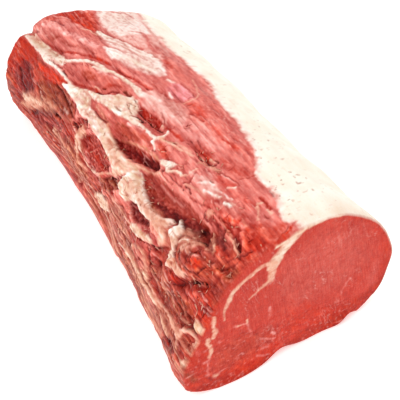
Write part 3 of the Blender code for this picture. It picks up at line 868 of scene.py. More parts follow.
RIB_BED: list[Mark] = [
    # red bed on the flank
    Patch(DEEP, "81,137 89,132 96,135 100,142 103,150 108,158.7 109.8,165 110,172 107,171 100,172 96,172.7 "
          "91,168 88.5,159 86,150 82,143", 2, -1),
    Stroke(RED, "87,137 92,148 97,159 102,168", (1.6, 2.4), 4.5, 0, 0.75),
    Stroke(UMBER, "100,144 105,153 108.5,160 109.5,171", 0.7, 1.6, -0.8),
    Stroke(SAND, "79,139 83,149 86,158 89,167 94,173", 0.8, 1.8, 0.5, 0.8),
    Stroke(PEACH, "97,173.3 104,173.3 110.7,174 118,175.5", 0.8, 1.3, 0.7),
    # fat that runs down from the hub
    Patch(CREAM, "63,84 72,85 80,89 90,91 98,95 95,101 90,98 90,104 93,110 96,115 103,121 109,127 113,137 "
          "108,141 100,140 93,131 89,124 87,118 80,113 77,106 74,98 68,92", 2, 0.5),
    Stroke(SUET, "66,86.5 72,90 79,92", (1.8, 2), 2.4, 0.3),
    Stroke(SUET, "80,105 86,108", 1.5, 2.6, 0.2),
    Stroke(SUET, "91,118 95,126 101,134", (1.6, 1.2), 2.6, 0.3),
    Stroke(VEIL, "77,97 82,101 83,104", 1.2, 2.4, 0, 0.7),
    Stroke(SAND, "89,98 89.5,105", 0.6, 1.6, -0.2, 0.8),
    Stroke(SAND, "84,114 92,113.5", 0.6, 1.6, -0.2, 0.7),
    Stroke(APRICOT, "107,124 110,130 113,137", 1, 1.8, 0.2),
    Patch(TALLOW, "103,137 112,137 115,143 119,151 124,157 132,163 140,169 139,174 128,172 121,177 113,173 "
          "111,164 108.5,156 104,149 100,141", 2.4, 0.5),
    Stroke(APRICOT, "109,141 113,151 117,160 121,168", 0.7, 2, -0.2, 0.8),
    Stroke(CREAM, "112.5,149 114.5,162", 0.9, 1.8, 0.4),
    Stroke(CLAY, "118,160 126,166 134,170", 0.5, 1.8, -0.3, 0.6),
    # dark ragged lean beside the fat, with painted shadow in a slit
    Patch(BROWN, "95,174 100,176.7 106,178 109.3,176.7 118.7,177.3 119,182 117,190 112,191 109.3,192.7 "
          "103.3,190 100,187.3 100,182 96,178", 1.6, -0.8),
    Stroke(WINE, "104,180 110,179 116,179", 0.8, 1.6, -0.6, 0.8),
    Stroke(WINE, "117,178 117.5,184 116,190", 0.8, 1.4, -0.9),
    Stroke(MAROON, "103,184 108,187 113,188", 0.8, 2, -0.4, 0.8),
    Stroke(ROSE, "102,181 106,184", 0.5, 1.4, 0.4),
    Stroke(CREVICE, "120,179 123,180 125.5,178.3", 0.9, 1.2, -1),
    Stroke(MAROON, "102.7,187.3 108,190.7 112,194", 0.4, 1.1, -0.6),
    Stroke(MAROON, "103.3,190.7 108,194.7", 0.4, 1.1, -0.5),
    Stroke(UMBER, "100.7,192.7 103.3,195.3 106.7,197.3 107.7,200.7", 0.5, 1.2, -1),
    Stroke(SCARLET, "95.5,188.5 96.5,190", 1.2, 1.8, 0.2),
    Patch(TALLOW, "95.3,192 100,193 103,196.7 108,202 109.5,208.7 105.3,210 101.3,206.7 99.3,200.7 "
          "96.3,196.7", 1.8, 0.5),
    # bed of the rib: the round muscle, with painted light along its top and painted shade over its lower half
    Patch(BRICK, "141,174 152,174 160,179 168,186 176,193 184,201 192,208 199,216 206,223 211,231 200,236 "
          "190,238 181,234 176.5,228 172.5,220.5 167,218.8 162,217 157,213 152,207.5 148.5,201 146,195 "
          "144,188 142,181", 2.4, -0.4),
    Stroke(ROSE, "146,178 156,184 166,191 176,198 184,206", (1.4, 1.8), 4.5, 0.3, 0.75),
    Stroke(MAROON, "149,196 155,203 163,209 172,214 182,221 192,228 200,234", (2.8, 4.4), 7, -0.4),
    Stroke(WINE, "158,207 168,213 178,221 188,229 198,236", (1.6, 2.6), 6, -0.4, 0.7),
    Stroke(BROWN, "145,189 147,196 150,202 154,208 160,213.5 167,217.5", 0.8, 2, -0.5),
    Stroke(WINE, "173,214 176,220 178,227", 1.4, 2.6, -0.6),
    Patch(WINE, "194,232 201,230.5 207,230.5 212.7,234.7 213.5,238 210,241.3 208.7,246.5 204.7,243.8 "
          "200.7,242 196.7,239.6", 1.8, -1),
    # fat strip over the rib
    Patch(CREAM, "118.5,184 123,178 129,171.5 138,170 142,174 143,184 144.5,190 146,196 148.5,201 152,207.5 "
          "157,213 163,217 168,219 173,221 175,225 168,227 160,224 152,222 146,218 141,211 138,205 134,202 "
          "126,200.5 120,195", 1.5, 0.9),
    Stroke(SUET, "123.5,186 125,196", 1.6, 2.4, 0.3),
    Stroke(SUET, "128,173 133,178 138,184", (1.8, 1.2), 2.4, 0.3),
    Stroke(SUET, "141.5,174 143,186 145,195", 0.6, 1.3, 0.4),
    Stroke(APRICOT, "139,200 143,206 147,213 152,218", (1.3, 1.8), 2.4, -0.2, 0.85),
    Stroke(PEACH, "131,182 136,190 139,198", 0.7, 2, -0.2, 0.8),
    Stroke(PEACH, "152,218 160,220 170,223", 2.2, 3, 0.1, 0.9),
    Stroke(BROWN, "161,220 163,221", 0.5, 1.1, -0.4),
    Stroke(UMBER, "170,224.5 175,227.5", 0.6, 1.2, -0.6),
    Stroke(CLAY, "150,203 156,210 164,215", 0.4, 1.2, -0.3, 0.8),
    # hole between the rib and the fat strip, darkened with painted shade, with painted shadow along its slit
    Patch(MAROON, "131,202.7 137.3,203.3 138.7,208.7 142.7,214 146.7,218.7 150.5,220.7 149.5,225.5 "
          "145.3,227 140,223.7 134,220.3 131,216 131.5,210 130,205.3", 1.3, -1.8),
    Stroke(CREVICE, "132,204 137,205 139,210.5 143,216 148,221", 0.9, 1.8, -0.8),
    Stroke(BROWN, "142,216 144,219", 0.7, 1.6, 0.2),
    Stroke(MAROON, "132,217.3 136.7,222", 0.7, 1.4, -0.6),
    # two prongs of fat below the hole
    Patch(TALLOW, "130.7,222.7 136.7,223 139.5,227 143.5,231.5 147.5,233.7 151.5,239 153,245 149,243.6 "
          "145,240.3 140,237 135,233.6 131.7,230", 1.3, 1),
    Patch(PEACH, "152.7,220 160,222 165.5,227 165.6,236.7 165.2,245 162,247.6 159,245 158.4,236.7 156.4,230 "
          "152.4,226", 1.3, 1),
    Stroke(SUET, "160,227 162,238", 0.7, 1.8, 0.3, 0.7),
    Stroke(LEAN, "153.5,228 154.5,236 155.5,243", 0.9, 1.5, -0.3),
    Stroke(BROWN, "166.5,232 167,238", 1, 1.8, -0.6),
    Stroke(SCARLET, "129.3,231 134,236.3 139,238", 0.6, 1.4, -0.3),
    Stroke(WINE, "138,237.5 143.3,241 147.3,244 149.3,248 149.3,252.7", (0.4, 0.7), 1.3, -1),
    # a dark hollow, with painted shadow along its upper edge
    Patch(MAROON, "150,245.3 156.7,247.3 162,248.3 167.3,246 170,250 169.3,258 167,262 163,256.7 "
          "156.7,252.7 151,251.3", 1.8, -1),
    Stroke(CREVICE, "151,246 157,248 163,248.8 168,247", 0.6, 1.3, -0.8),
    Stroke(RED, "156,251 163,255", 0.7, 1.8, 0.2, 0.8),
]

ROLLED_END: list[Mark] = [
    # lean round the rolled end
    Patch(BRICK, "168,240 182,232 200,236 214,232 226,232 234,244 240,256 232,270 222,282 208,292 190,290 "
          "172,282 160,268 156,256", 7, strength=0.9),
    Stroke(LEAN, "216,252 226,258 234,262", 3, 6),
    Stroke(RED, "214,246 222,250 228,256", 1.6, 4),
    Stroke(MAROON, "218,232 222,240 224,248", (0.8, 1.2), 3, -0.6, 0.8),
    Patch(MAROON, "226,226 234,226.5 240,231 242.5,240 242,248 240,254.5 236.5,251 234,243 231,236 "
          "227,231", 2.4, -1.2),
    Stroke(WINE, "235,236 238,243 239,251", 1.3, 2.4, -0.8),
    Stroke(DEEP, "219,216.5 223,220.5 228,224.5 236,227 241,231", (0.7, 0.9), 1.8, -0.9),
    Stroke(APRICOT, "220.7,218.5 225.3,226.7 227,232 231.3,236.9 233.3,242 234.3,247.5 236.3,252 "
           "239.5,257", 0.7, 1.3, 1),
    Stroke(MAROON, "240,258 246,255 252,253", 0.8, 2.6, -0.6),
    Stroke(MAROON, "228,262 236,257", 0.7, 2.4, -0.5, 0.8),
    Stroke(MAROON, "222,272 232,266 240,260", 0.8, 2.8, -0.5, 0.8),
    Stroke(RED, "240,262 250,257", 1.4, 3.4, 0.2),
    Stroke(BROWN, "226,278 236,272", 2.2, 4.5, strength=0.8),
    Stroke(DEEP, "214,284 224,276", 1.4, 3.4, -0.3),
    Stroke(BROWN, "227,270.5 230,268.8 233,269", 0.5, 1.4, -0.5),
    Stroke(UMBER, "217,270 222,271", 0.8, 1.8, -0.5, 0.8),
    # the rolled end of the rib finger
    Patch(BRICK, "177,251 182,245 189,241.8 198,243.2 205,247.6 210,254 211.5,263 208,271.5 200,277 189,277 "
          "180,270 176,260", 1.8, 1.4),
    Stroke(BROWN, "180,251 179.5,257 181,264", 1.8, 3, -0.2),
    # painted highlights: a pink arc over the top of the roll and a small pink spot under it
    Stroke(ROSE, "186,250 193,246.6 201,249 206,254", 1, 2.4, 0.3),
    Stroke(DEEP, "185,264 186,256 192,251.5 199,253 203,259", 0.7, 1.8, -0.8),
    Stroke(SCARLET, "190,259 194,260 199,263", (2, 2.4), 2.6, 0.2),
    Stroke(PINK, "194,255.5 198,256.5", 0.9, 1.8, 0.4),
    Stroke(UMBER, "191,252.8 192,253.8", 0.6, 1.2, -0.6),
    Stroke(RED, "189,266 195,269 201,267", 1.2, 2.4, 0.2),
    Stroke(WINE, "184,267 189,272.8 196.7,273.6 201.3,271.6 204.5,266.7", (0.5, 0.7), 1.5, -1),
    Stroke(DEEP, "204,260 208,265", 0.4, 1.1, -0.4),
    Stroke(DEEP, "204.5,265 207,269", 0.4, 1.1, -0.4),
    Stroke(UMBER, "210,262.8 211,264", 0.7, 1.4, -0.5),
    Stroke(CREAM, "179,241.8 184,238.8 189,239.8", (0.7, 1), 1.2, 1),
    Stroke(APRICOT, "189,241.2 194,241.6 198.7,243 203.3,245.6 207.3,248.4 209.3,251", 0.8, 1.3, 0.8),
    # painted shadow in the crack above the roll
    Stroke(CREVICE, "179.3,238.7 181.3,236.7 184,235.2 187.3,236 190,236.7 192.7,238.5 195.3,238.9 "
           "197.5,240.7 200,242.1 203.3,243.3 207.3,246.5", 0.5, 1.1, -1.8),
    Stroke(BROWN, "178,246 176.4,250 174.9,253.3 175,257", 0.4, 1.1, -1),
    Patch(SAND, "214.3,233 216.3,238.7 216.3,251.3 213.3,255.6 211,252.7 209.2,248.7 209.2,244 211.3,240.5 "
          "214,238", 1.4, 0.9),
    Patch(PEACH, "208,210 214,209.6 213.4,215 208,219.6 206.5,216", 1.4, 0.8),
    Stroke(MAROON, "206,212 205,218 208,222", 0.7, 1.8, -0.7),
    # cream tag in front of the bed, and the strip that wraps the rolled end
    Patch(CREAM, "180,219.5 182.3,223.3 184.3,231.3 181,235 179,237 177.6,243.3 175.6,248.7 174,252.7 "
          "174.9,258 170.4,264 167.8,266.3 168.5,260.7 169.7,255.3 171,250 171.6,243.3 171.3,238 "
          "170.3,232.7 171,229.7 174,228.4 178,225", 1.1, 2),
    Stroke(TALLOW, "174,236 173.5,245 171,256", 0.7, 1.8, -0.3, 0.7),
    Stroke(WINE, "184.6,226 186,232 183,236", 0.6, 1.4, -0.8, 0.8),
    Patch(PEACH, "167.6,260.7 174,257.6 177,262 180.3,266.5 183.6,270 185.6,274 184.7,278.3 180.4,277 "
          "176.4,273 173.7,267.6 168.4,267", 1.3, 1),
    Stroke(UMBER, "186,275 186.6,276.4", 0.6, 1.1, -0.6),
    Patch(RED, "167.5,272 174,269.8 177,274 181,278 182.3,282 179.3,284.3 173,284.3 168.5,280.7", 1.8, 0.5),
    Stroke(SCARLET, "171,275 175,279", 1, 2, 0.2),
    # painted shadow in the crack under the roll
    Stroke(MAROON, "171,285.3 180.7,284.3 188.7,283.7", 0.6, 1.4, -1),
    Stroke(CREVICE, "192.3,283.6 196,282.5 200,282.8 204.7,283 207.5,284 208,289", (1.4, 0.6), 1.3, -1.8),
    Stroke(UMBER, "155,257.8 155.7,258.4", 0.6, 1.2, -0.6),
    Stroke(UMBER, "159,260.5 160,264", 0.6, 1.3, -0.7),
    Stroke(UMBER, "161,272.5 161.8,273", 0.6, 1.2, -0.6),
    Stroke(UMBER, "167,260.7 166.6,265.3", 0.4, 1.1, -0.6),
    Stroke(MAROON, "152,269 158,271", 0.5, 1.4, -0.6, 0.8),
]

FLANK: list[Mark] = [
    # streaks and edges of the rib side's flank
    Stroke(BROWN, "88,191 94,204 99,214 104,222 109,231", 0.9, 2, -0.4, 0.8),
    Stroke(SAND, "104,212 110,222 116,234 121,243", 1, 2.6, 0.4, 0.8),
    Stroke(MAROON, "115.3,219 117,226 119.3,232", 0.5, 1.3, -0.8),
    Stroke(MAROON, "118.7,216.7 120.5,222 122.7,228", 0.5, 1.3, -0.7),
    Stroke(RED, "112,221 113.5,223.5", 0.9, 1.6),
    Stroke(RED, "115.8,204 117.6,205.5", 1.1, 1.8),
    Stroke(BROWN, "110,196 113,206 118,216", 0.8, 2.2, -0.4, 0.7),
    Stroke(PEACH, "113,198 118,208 124,218", 0.9, 2.4, 0.4, 0.8),
    Stroke(CREAM, "121,243.5 125,248 129.5,252", 1.1, 1.8, 0.4),
    Patch(PEACH, "139,274 146,276 151,284 154,292 152,300 146,292 142,284", 3, 0.4),
    Stroke(TALLOW, "148,286 151,294", 0.9, 2, 0.3),
    Stroke(RED, "151,281 154,286 157,292", (0.8, 1.3), 2, -0.3),
    Stroke(SAND, "124,232 132,244 138,254 146,264 154,276 160,288", (1.2, 1.6), 3.4, 0.4, 0.8),
    Stroke(BROWN, "128,246 136,257 144,268 150,278", 0.7, 2.2, -0.5, 0.8),
    Stroke(CLAY, "140,248 148,260 156,272", 1.6, 3.4, 0.2, 0.8),
    Stroke(BROWN, "130,269 133.6,279 137,287 143,296", 0.8, 1.6, -0.3),
    Stroke(BROWN, "147.5,300 151,306 154,312 158,318", (1, 0.8), 1.6, -0.4),
    Stroke(SAND, "154,300 160,312 164,324 168,334", (1.6, 2.4), 4, 0.3),
    Stroke(ROSE, "151,300 157,306", 1.6, 3, 0, 0.8),
    Stroke(PEACH, "157,298 163,305.5 168,310 171,317 173.5,325 177,332 181,337", (0.9, 1.1), 1.6, 0.7),
    Stroke(BROWN, "162,309 166,313 169.5,319", (0.6, 1.1), 1.5, -1),
    Stroke(BROWN, "165,316 168,322", 0.5, 1.3, -0.6),
    Stroke(UMBER, "163.3,326.5 163.6,328", 0.5, 1.2, -0.5),
    Patch(BRICK, "158,278 172,285 186,285 192,300 195,320 197,334 187,331 177,320 169,306 "
          "162,292", 4, strength=0.9),
    Stroke(CLAY, "164,286 172,300 178,314", 1.3, 3, 0.3),
    Stroke(WINE, "169,293 175,300 180,307 183,315", (0.5, 0.8), 1.5, -1),
    Stroke(MAROON, "175,292 181,299", 0.4, 1.3, -0.7),
    Stroke(MAROON, "166,289 171,296", 0.5, 1.5, -0.6, 0.8),
    Stroke(MAROON, "184,288 187,296 188,304", 0.5, 1.5, -0.6, 0.8),
    Stroke(PEACH, "181,299 184,307 185,316", 0.5, 1.4, 0.5, 0.9),
    Stroke(PEACH, "181,318.5 187,322", 1.1, 1.7, 0.5),
    Patch(DEEP, "187,302 194,306 195.5,325 197,334 191,329 187,318", 3, -0.4),
    # painted shadow in the slit
    Stroke(CREVICE, "187,328.5 192,329 194.5,330 196.5,334", (0.5, 1), 1.5, -1.2),
    Stroke(BROWN, "178,328 179.5,332", 0.7, 1.4, -0.5),
    Stroke(VEIL, "180,328.5 186,330.5 192,333.5 197,338 202,344", 0.9, 1.6, 0.6),
    Stroke(BLUSH, "175,334 178,342 179.5,350", 1.3, 2.2, 0.4),
    Patch(DEEP, "181,335 190,336 198,342 201,350 191,352 182,348", 3, -0.3),
    Stroke(MAROON, "182,341 187,343.5 189,347", 0.6, 1.6, -0.7),
    Stroke(ROSE, "190,339 195,344", 0.8, 2, 0.3),
    Patch(MAROON, "163,336 168,337 171.5,345 173,352 169,355 165.5,348 162,341", 1.8, -0.5),
    Stroke(RED, "165.5,340 167,346", 0.8, 1.8, 0.2),
    Stroke(UMBER, "170,342 172,348", 0.5, 1.4, -0.4),
    Stroke(MAROON, "173.5,340 175,348", 0.7, 1.8, -0.4, 0.8),
    Stroke(BROWN, "167.5,352 171,358 175,364 179,371", (1.2, 1), 1.8, -0.3),
    Stroke(LEAN, "182,354 190,356 196,362", 2.8, 5),
    Patch(PEACH, "180,362 186,359.5 191,363 189,369 182,370", 2.4, 0.4),
    Stroke(MAROON, "175.5,357 177.5,362", 0.7, 1.6, -0.5),
    # red lean between the flank and the cut
    Patch(RED, "188,285 200,288 211,290 215,300 213,315 213,327 205,326 198,323 193,310 "
          "191,297", 4, strength=0.9),
    Stroke(SCARLET, "199,312 205,320 210,326", 2.2, 4),
    Stroke(MAROON, "205,299 208,304", 0.9, 2.2, -0.5),
    Stroke(MAROON, "211,291 214,297", 0.9, 2.2, -0.5),
    Stroke(MAROON, "193,290 195,300", 0.6, 2, -0.5, 0.8),
    Stroke(ROSE, "200,294 203,306", 0.8, 2.4, 0.3, 0.8),
    Patch(PEACH, "195.5,323.5 203,328 208.5,332 205,336 197,333", 1.8, 0.5),
    Stroke(LEAN, "203,340 205,350 203,360", 3, 5),
]

# Broad tones over the other marks: paler where the meat has bloomed or a film pales it, darker or paler round
# the flank's lobes, and painted highlights that stand for soft glints on the wet cap.
BLOOM_AND_GLINTS: list[Mark] = [
    Patch(ROSE, "146,168 165,174 187,190 206,210 202,222 182,212 160,194", 7, strength=0.3),
    Patch(BLUSH, "186,158 215,172 240,196 250,220 232,222 212,202 190,182", 12, strength=0.15),
    Patch(BLUSH, "128,70 150,82 172,104 196,130 186,134 160,112 136,88", 10, strength=0.15),
    Patch(RED, "206,196 222,196 244,206 256,222 262,244 250,250 236,240 220,232 206,214", 9, strength=0.62),
    Patch(CLAY, "147,205 158,212 172,226 168,231 156,226 147,216", 4, strength=0.6),
    Stroke(PINK, "170,56 188,70 206,88 222,110 238,134 248,154 251,168", 3, 6, strength=0.5),
    Patch(ROSE, "184,116 204,118 222,142 214,156 196,146", 12, strength=0.45),
    Patch(APRICOT, "146,204 158,210 172,230 180,246 170,252 158,238 147,222", 5, strength=0.55),
    Patch(PEACH, "176,236 186,228 199,232 201,244 190,252 180,250", 5, strength=0.5),
    Patch(PEACH, "124,178 138,178 148,196 142,206 130,196", 6, strength=0.4),
    # painted highlights: the two soft glints on the cap again
    Stroke(FILM, "167,80 173,84", 0.8, 3.4, 0.1, 0.4),
    Stroke(FILM, "169,93 174,98", 0.8, 3.4, 0.1, 0.4),
    # painted highlights: white and pinkish glints on the cap's lobes
    Stroke(SUET, "225,203 230,206", 1.2, 2.2, 0.5, 0.8),
    Stroke(FILM, "204,190 212,193 220,198", 0.9, 2.2, 0.3, 0.8),
    Stroke(FILM, "198,182 206,184", 0.9, 2.2, 0.3, 0.7),
    Stroke(FILM, "214,188 224,194 232,200", 0.8, 2, 0.3, 0.6),
    Stroke(VEIL, "190,172 202,178 212,186", 0.9, 2.2, 0.3, 0.6),
    Stroke(VEIL, "160,186 172,198 184,206", 1, 2.4, 0.2, 0.5),
    Patch(RED, "196,88 214,102 238,130 258,158 262,172 246,168 224,140 204,112", 12, strength=0.35),
    Patch(BLUSH, "30,38 44,24 64,18 78,26 66,34 46,40", 6, 0.4, 0.45),
    Patch(SAND, "128,262 140,262 158,300 168,330 160,336 144,304", 9, strength=0.45),
    Patch(BROWN, "158,288 176,292 190,304 196,322 190,330 176,322 164,304", 5, -0.4, 0.6),
    Stroke(APRICOT, "126,246 134,260 144,280 156,300 168,318 178,330", (4.2, 2.6), 4, 0.8, 0.85),
    Stroke(TALLOW, "128,250 138,268 148,288 158,304", (1.8, 1.2), 2.6, 0.4, 0.85),
    Patch(ROSE, "134,246 142,252 147,266 142,270 136,260", 3.5, 0.6, 0.8),
    Patch(BRICK, "180,338 186,334 193,340 196,350 192,358 184,352", 3, 0.5, 0.9),
    Stroke(PEACH, "176,346 178,336 184,330 192,333 197,340 198,352 195,360", 1.8, 2.8, 0.7, 0.9),
    Patch(UMBER, "165,334 172,338 175,348 170,350 166,342", 3.5, -0.6, 0.8),
    Patch(TALLOW, "195,319 206,330 200,334 194,328", 2.4, 0.6, 0.9),
    Patch(RED, "198,296 208,294 212,312 208,328 200,318", 5, 0.3, 0.7),
    Patch(SAND, "104,196 116,200 126,226 132,246 122,244 110,220", 7, strength=0.45),
]

# The ragged far end of the rib side and the foot of the flank.
FAR_END: list[Mark] = [
    Patch(RED, "8,56 12,44 22,36 32,44 38,56 34,66 24,60 16,76 10,72", 4),
    # painted shade: a dark band in the shadow beside the red muscle, with painted shadow in its slits
    Patch(MAROON, "17,62 24,60 33,68 36,84 34,98 24,100 18,90 15,76", 5, strength=0.75),
    Stroke(CREVICE, "20,66 22,80 26,92", 1.6, 3.4, -0.8, 0.8),
    Stroke(CREVICE, "28,68 31,80 32,90", 1.2, 2.6, -0.6, 0.7),
    Patch(SCARLET, "38,62 48,66 60,76 66,84 54,84 44,76", 4, 0.6),
    Patch(BROWN, "40,80 54,84 66,92 74,108 74,118 60,114 48,104 40,92", 5, 0.8, 0.85),
    Stroke(UMBER, "58,86 66,98 72,112", 1.3, 2.6, -0.6, 0.9),
    Stroke(UMBER, "48,90 56,102 64,112", 1, 2.4, -0.4, 0.8),
    Stroke(CLAY, "44,86 54,98 62,108", 1.4, 2.6, 0.3, 0.7),
    # painted shadow along the lower edge of the brown lobe
    Stroke(CREVICE, "38,84 42,98 50,108 62,118", 1.6, 2.8, -0.9, 0.8),
    Patch(APRICOT, "23,95 33,92 46,99 58,108 52,113 38,108 28,107", 9, 0.4, 0.8),
    Stroke(TALLOW, "26,98 34,99 42,104", (2.4, 1.4), 4.5, 0.5, 0.75),
    Stroke(PEACH, "30,103 40,110 52,117", (1.6, 1), 3.5, 0.3, 0.7),
    Patch(MAROON, "32,111 44,109 56,117 64,127 58,133 44,125 34,118", 5, 0.5, 0.85),
    Stroke(ROSE, "40,115 50,120 58,128", 2.2, 3.6, 0.4, 0.7),
    Stroke(PEACH, "56,130 66,148 74,164 80,180", 3, 4, 0.6, 0.9),
    Stroke(UMBER, "60,128 70,144 78,160 84,174", 1.2, 2.6, -0.7, 0.8),
    Patch(RED, "66,128 76,134 82,150 86,166 78,160 70,146", 4, 0.5, 0.7),
    Patch(FILM, "98,33 112,39 130,47 150,55 162,62 164,72 150,64 130,54 110,46", 5.5, 0.2, 0.85),
    Patch(FILM, "106,47 122,54 142,62 160,70 164,76 148,74 128,66 112,58", 5, 0.2, 0.75),
    Stroke(PINK, "160,74 168,84 178,92", 2, 6, strength=0.6),
    Stroke(PINK, "104,40 118,45 132,52 146,60", 0.7, 2.6, -0.3, 0.7),
    Stroke(TALLOW, "85,131 79,138 80,148 84,158 89,167 96,173", (1.6, 1.1), 1.8, 0.8, 0.9),
    Stroke(ROSE, "85,92 92,98 96,106", 1.2, 2.6, -0.2, 0.55),
    Stroke(APRICOT, "98,106 103,115 110,125", 1.6, 3, 0.2, 0.6),
    Stroke(APRICOT, "107,140 111,152 116,162 124,170", 1.6, 3, 0, 0.55),
    Stroke(ROSE, "86,112 92,120 97,130 101,139", 1.2, 2.6, -0.3, 0.5),
    Stroke(SAND, "122,184 127,194 136,202", 1.2, 2.6, 0, 0.5),
    # muscles, threads and edges of the flank
    Patch(CLAY, "61,138 71,137 78,150 82,164 90,178 80,180 70,166", 3, 0.9, 0.85),
    Stroke(MAROON, "58,132 63,144 69,156 76,168 84,180", (0.9, 0.7), 1.8, -1, 0.85),
    Stroke(BROWN, "73,142 76,154 80,166 87,177", 0.8, 1.6, -0.9, 0.85),
    Stroke(APRICOT, "84,129 78,134 76.5,143 78,153 82,163 88,171", (2.6, 1.4), 2, 0.9, 0.9),
    Stroke(TALLOW, "80,132 77.5,141 79,152", 1.1, 1.8, 0.4, 0.85),
    Patch(CREAM, "97,193 103,196 108,203 110,211 105,210 100,203", 2, 0.8, 0.85),
    Stroke(MAROON, "98,179 104,189 110,198", 0.6, 1.3, -0.9, 0.9),
    Stroke(CLAY, "100,178.5 106,188 112,197", 0.5, 1.2, 0.5, 0.9),
    Stroke(MAROON, "103,178 109,187 114,195", 0.6, 1.3, -0.9, 0.9),
    Stroke(CLAY, "106,178 112,186 117,193", 0.5, 1.2, 0.5, 0.9),
    Stroke(UMBER, "110,178 115,185 119,190", 0.7, 1.3, -0.9, 0.9),
    Patch(BROWN, "110,204 120,204 128,216 137,232 134,240 124,232 115,218", 5, -0.3, 0.55),
    Stroke(SAND, "112,210 120,222 129,236", 0.8, 1.8, 0.5, 0.8),
    Stroke(SAND, "120,208 127,219 134,229", 0.7, 1.6, 0.5, 0.7),
    Patch(SAND, "127,246 136,243 144,250 148,264 148,280 142,288 135,276 129,260", 3, 1.2, 0.85),
    Stroke(ROSE, "137,257 140,268 142,280", (2.6, 1.8), 3.2, -0.2, 0.75),
    Stroke(MAROON, "147,248 150,260 151,274 148,288", (0.9, 0.7), 1.8, -1.1, 0.85),
    Stroke(BROWN, "125,244 128,258 133,272 140,287", 0.8, 1.6, -0.9, 0.85),
    Patch(CLAY, "152,262 162,266 170,280 168,292 158,284 152,272", 3.5, 0.7, 0.7),
    Stroke(MAROON, "150,262 156,276 164,290 172,302", 0.7, 1.6, -0.9, 0.8),
    Patch(ROSE, "142,290 150,288 156,300 160,314 154,314 147,302", 3, 0.7, 0.75),
    Stroke(MAROON, "139,288 145,302 152,316 158,326", 0.8, 1.8, -0.9, 0.85),
    Stroke(SUET, "102,34 116,40 134,48 152,56", (1.6, 1), 3, 0.2, 0.7),
    Stroke(SUET, "112,52 128,59 146,67", (1.4, 1), 3, 0.2, 0.6),
]

# Edge of the fat cover over the side, from the far end to the near cut.
FAT_EDGE = (
    "137,8 141,17 144,23 150,29 155,34 160,38 164,44 170,49 177,55 184,60 190,66 198,74 206,81 211,88 "
    "216,96 221,104 227,111 233,118 239,127 245,135 250,143 253,150 256,158 257,166 255.5,174 259,178 "
    "264,183 269,188 273,195 277,203 280,211 281,219 285,223 290,224 296,223")

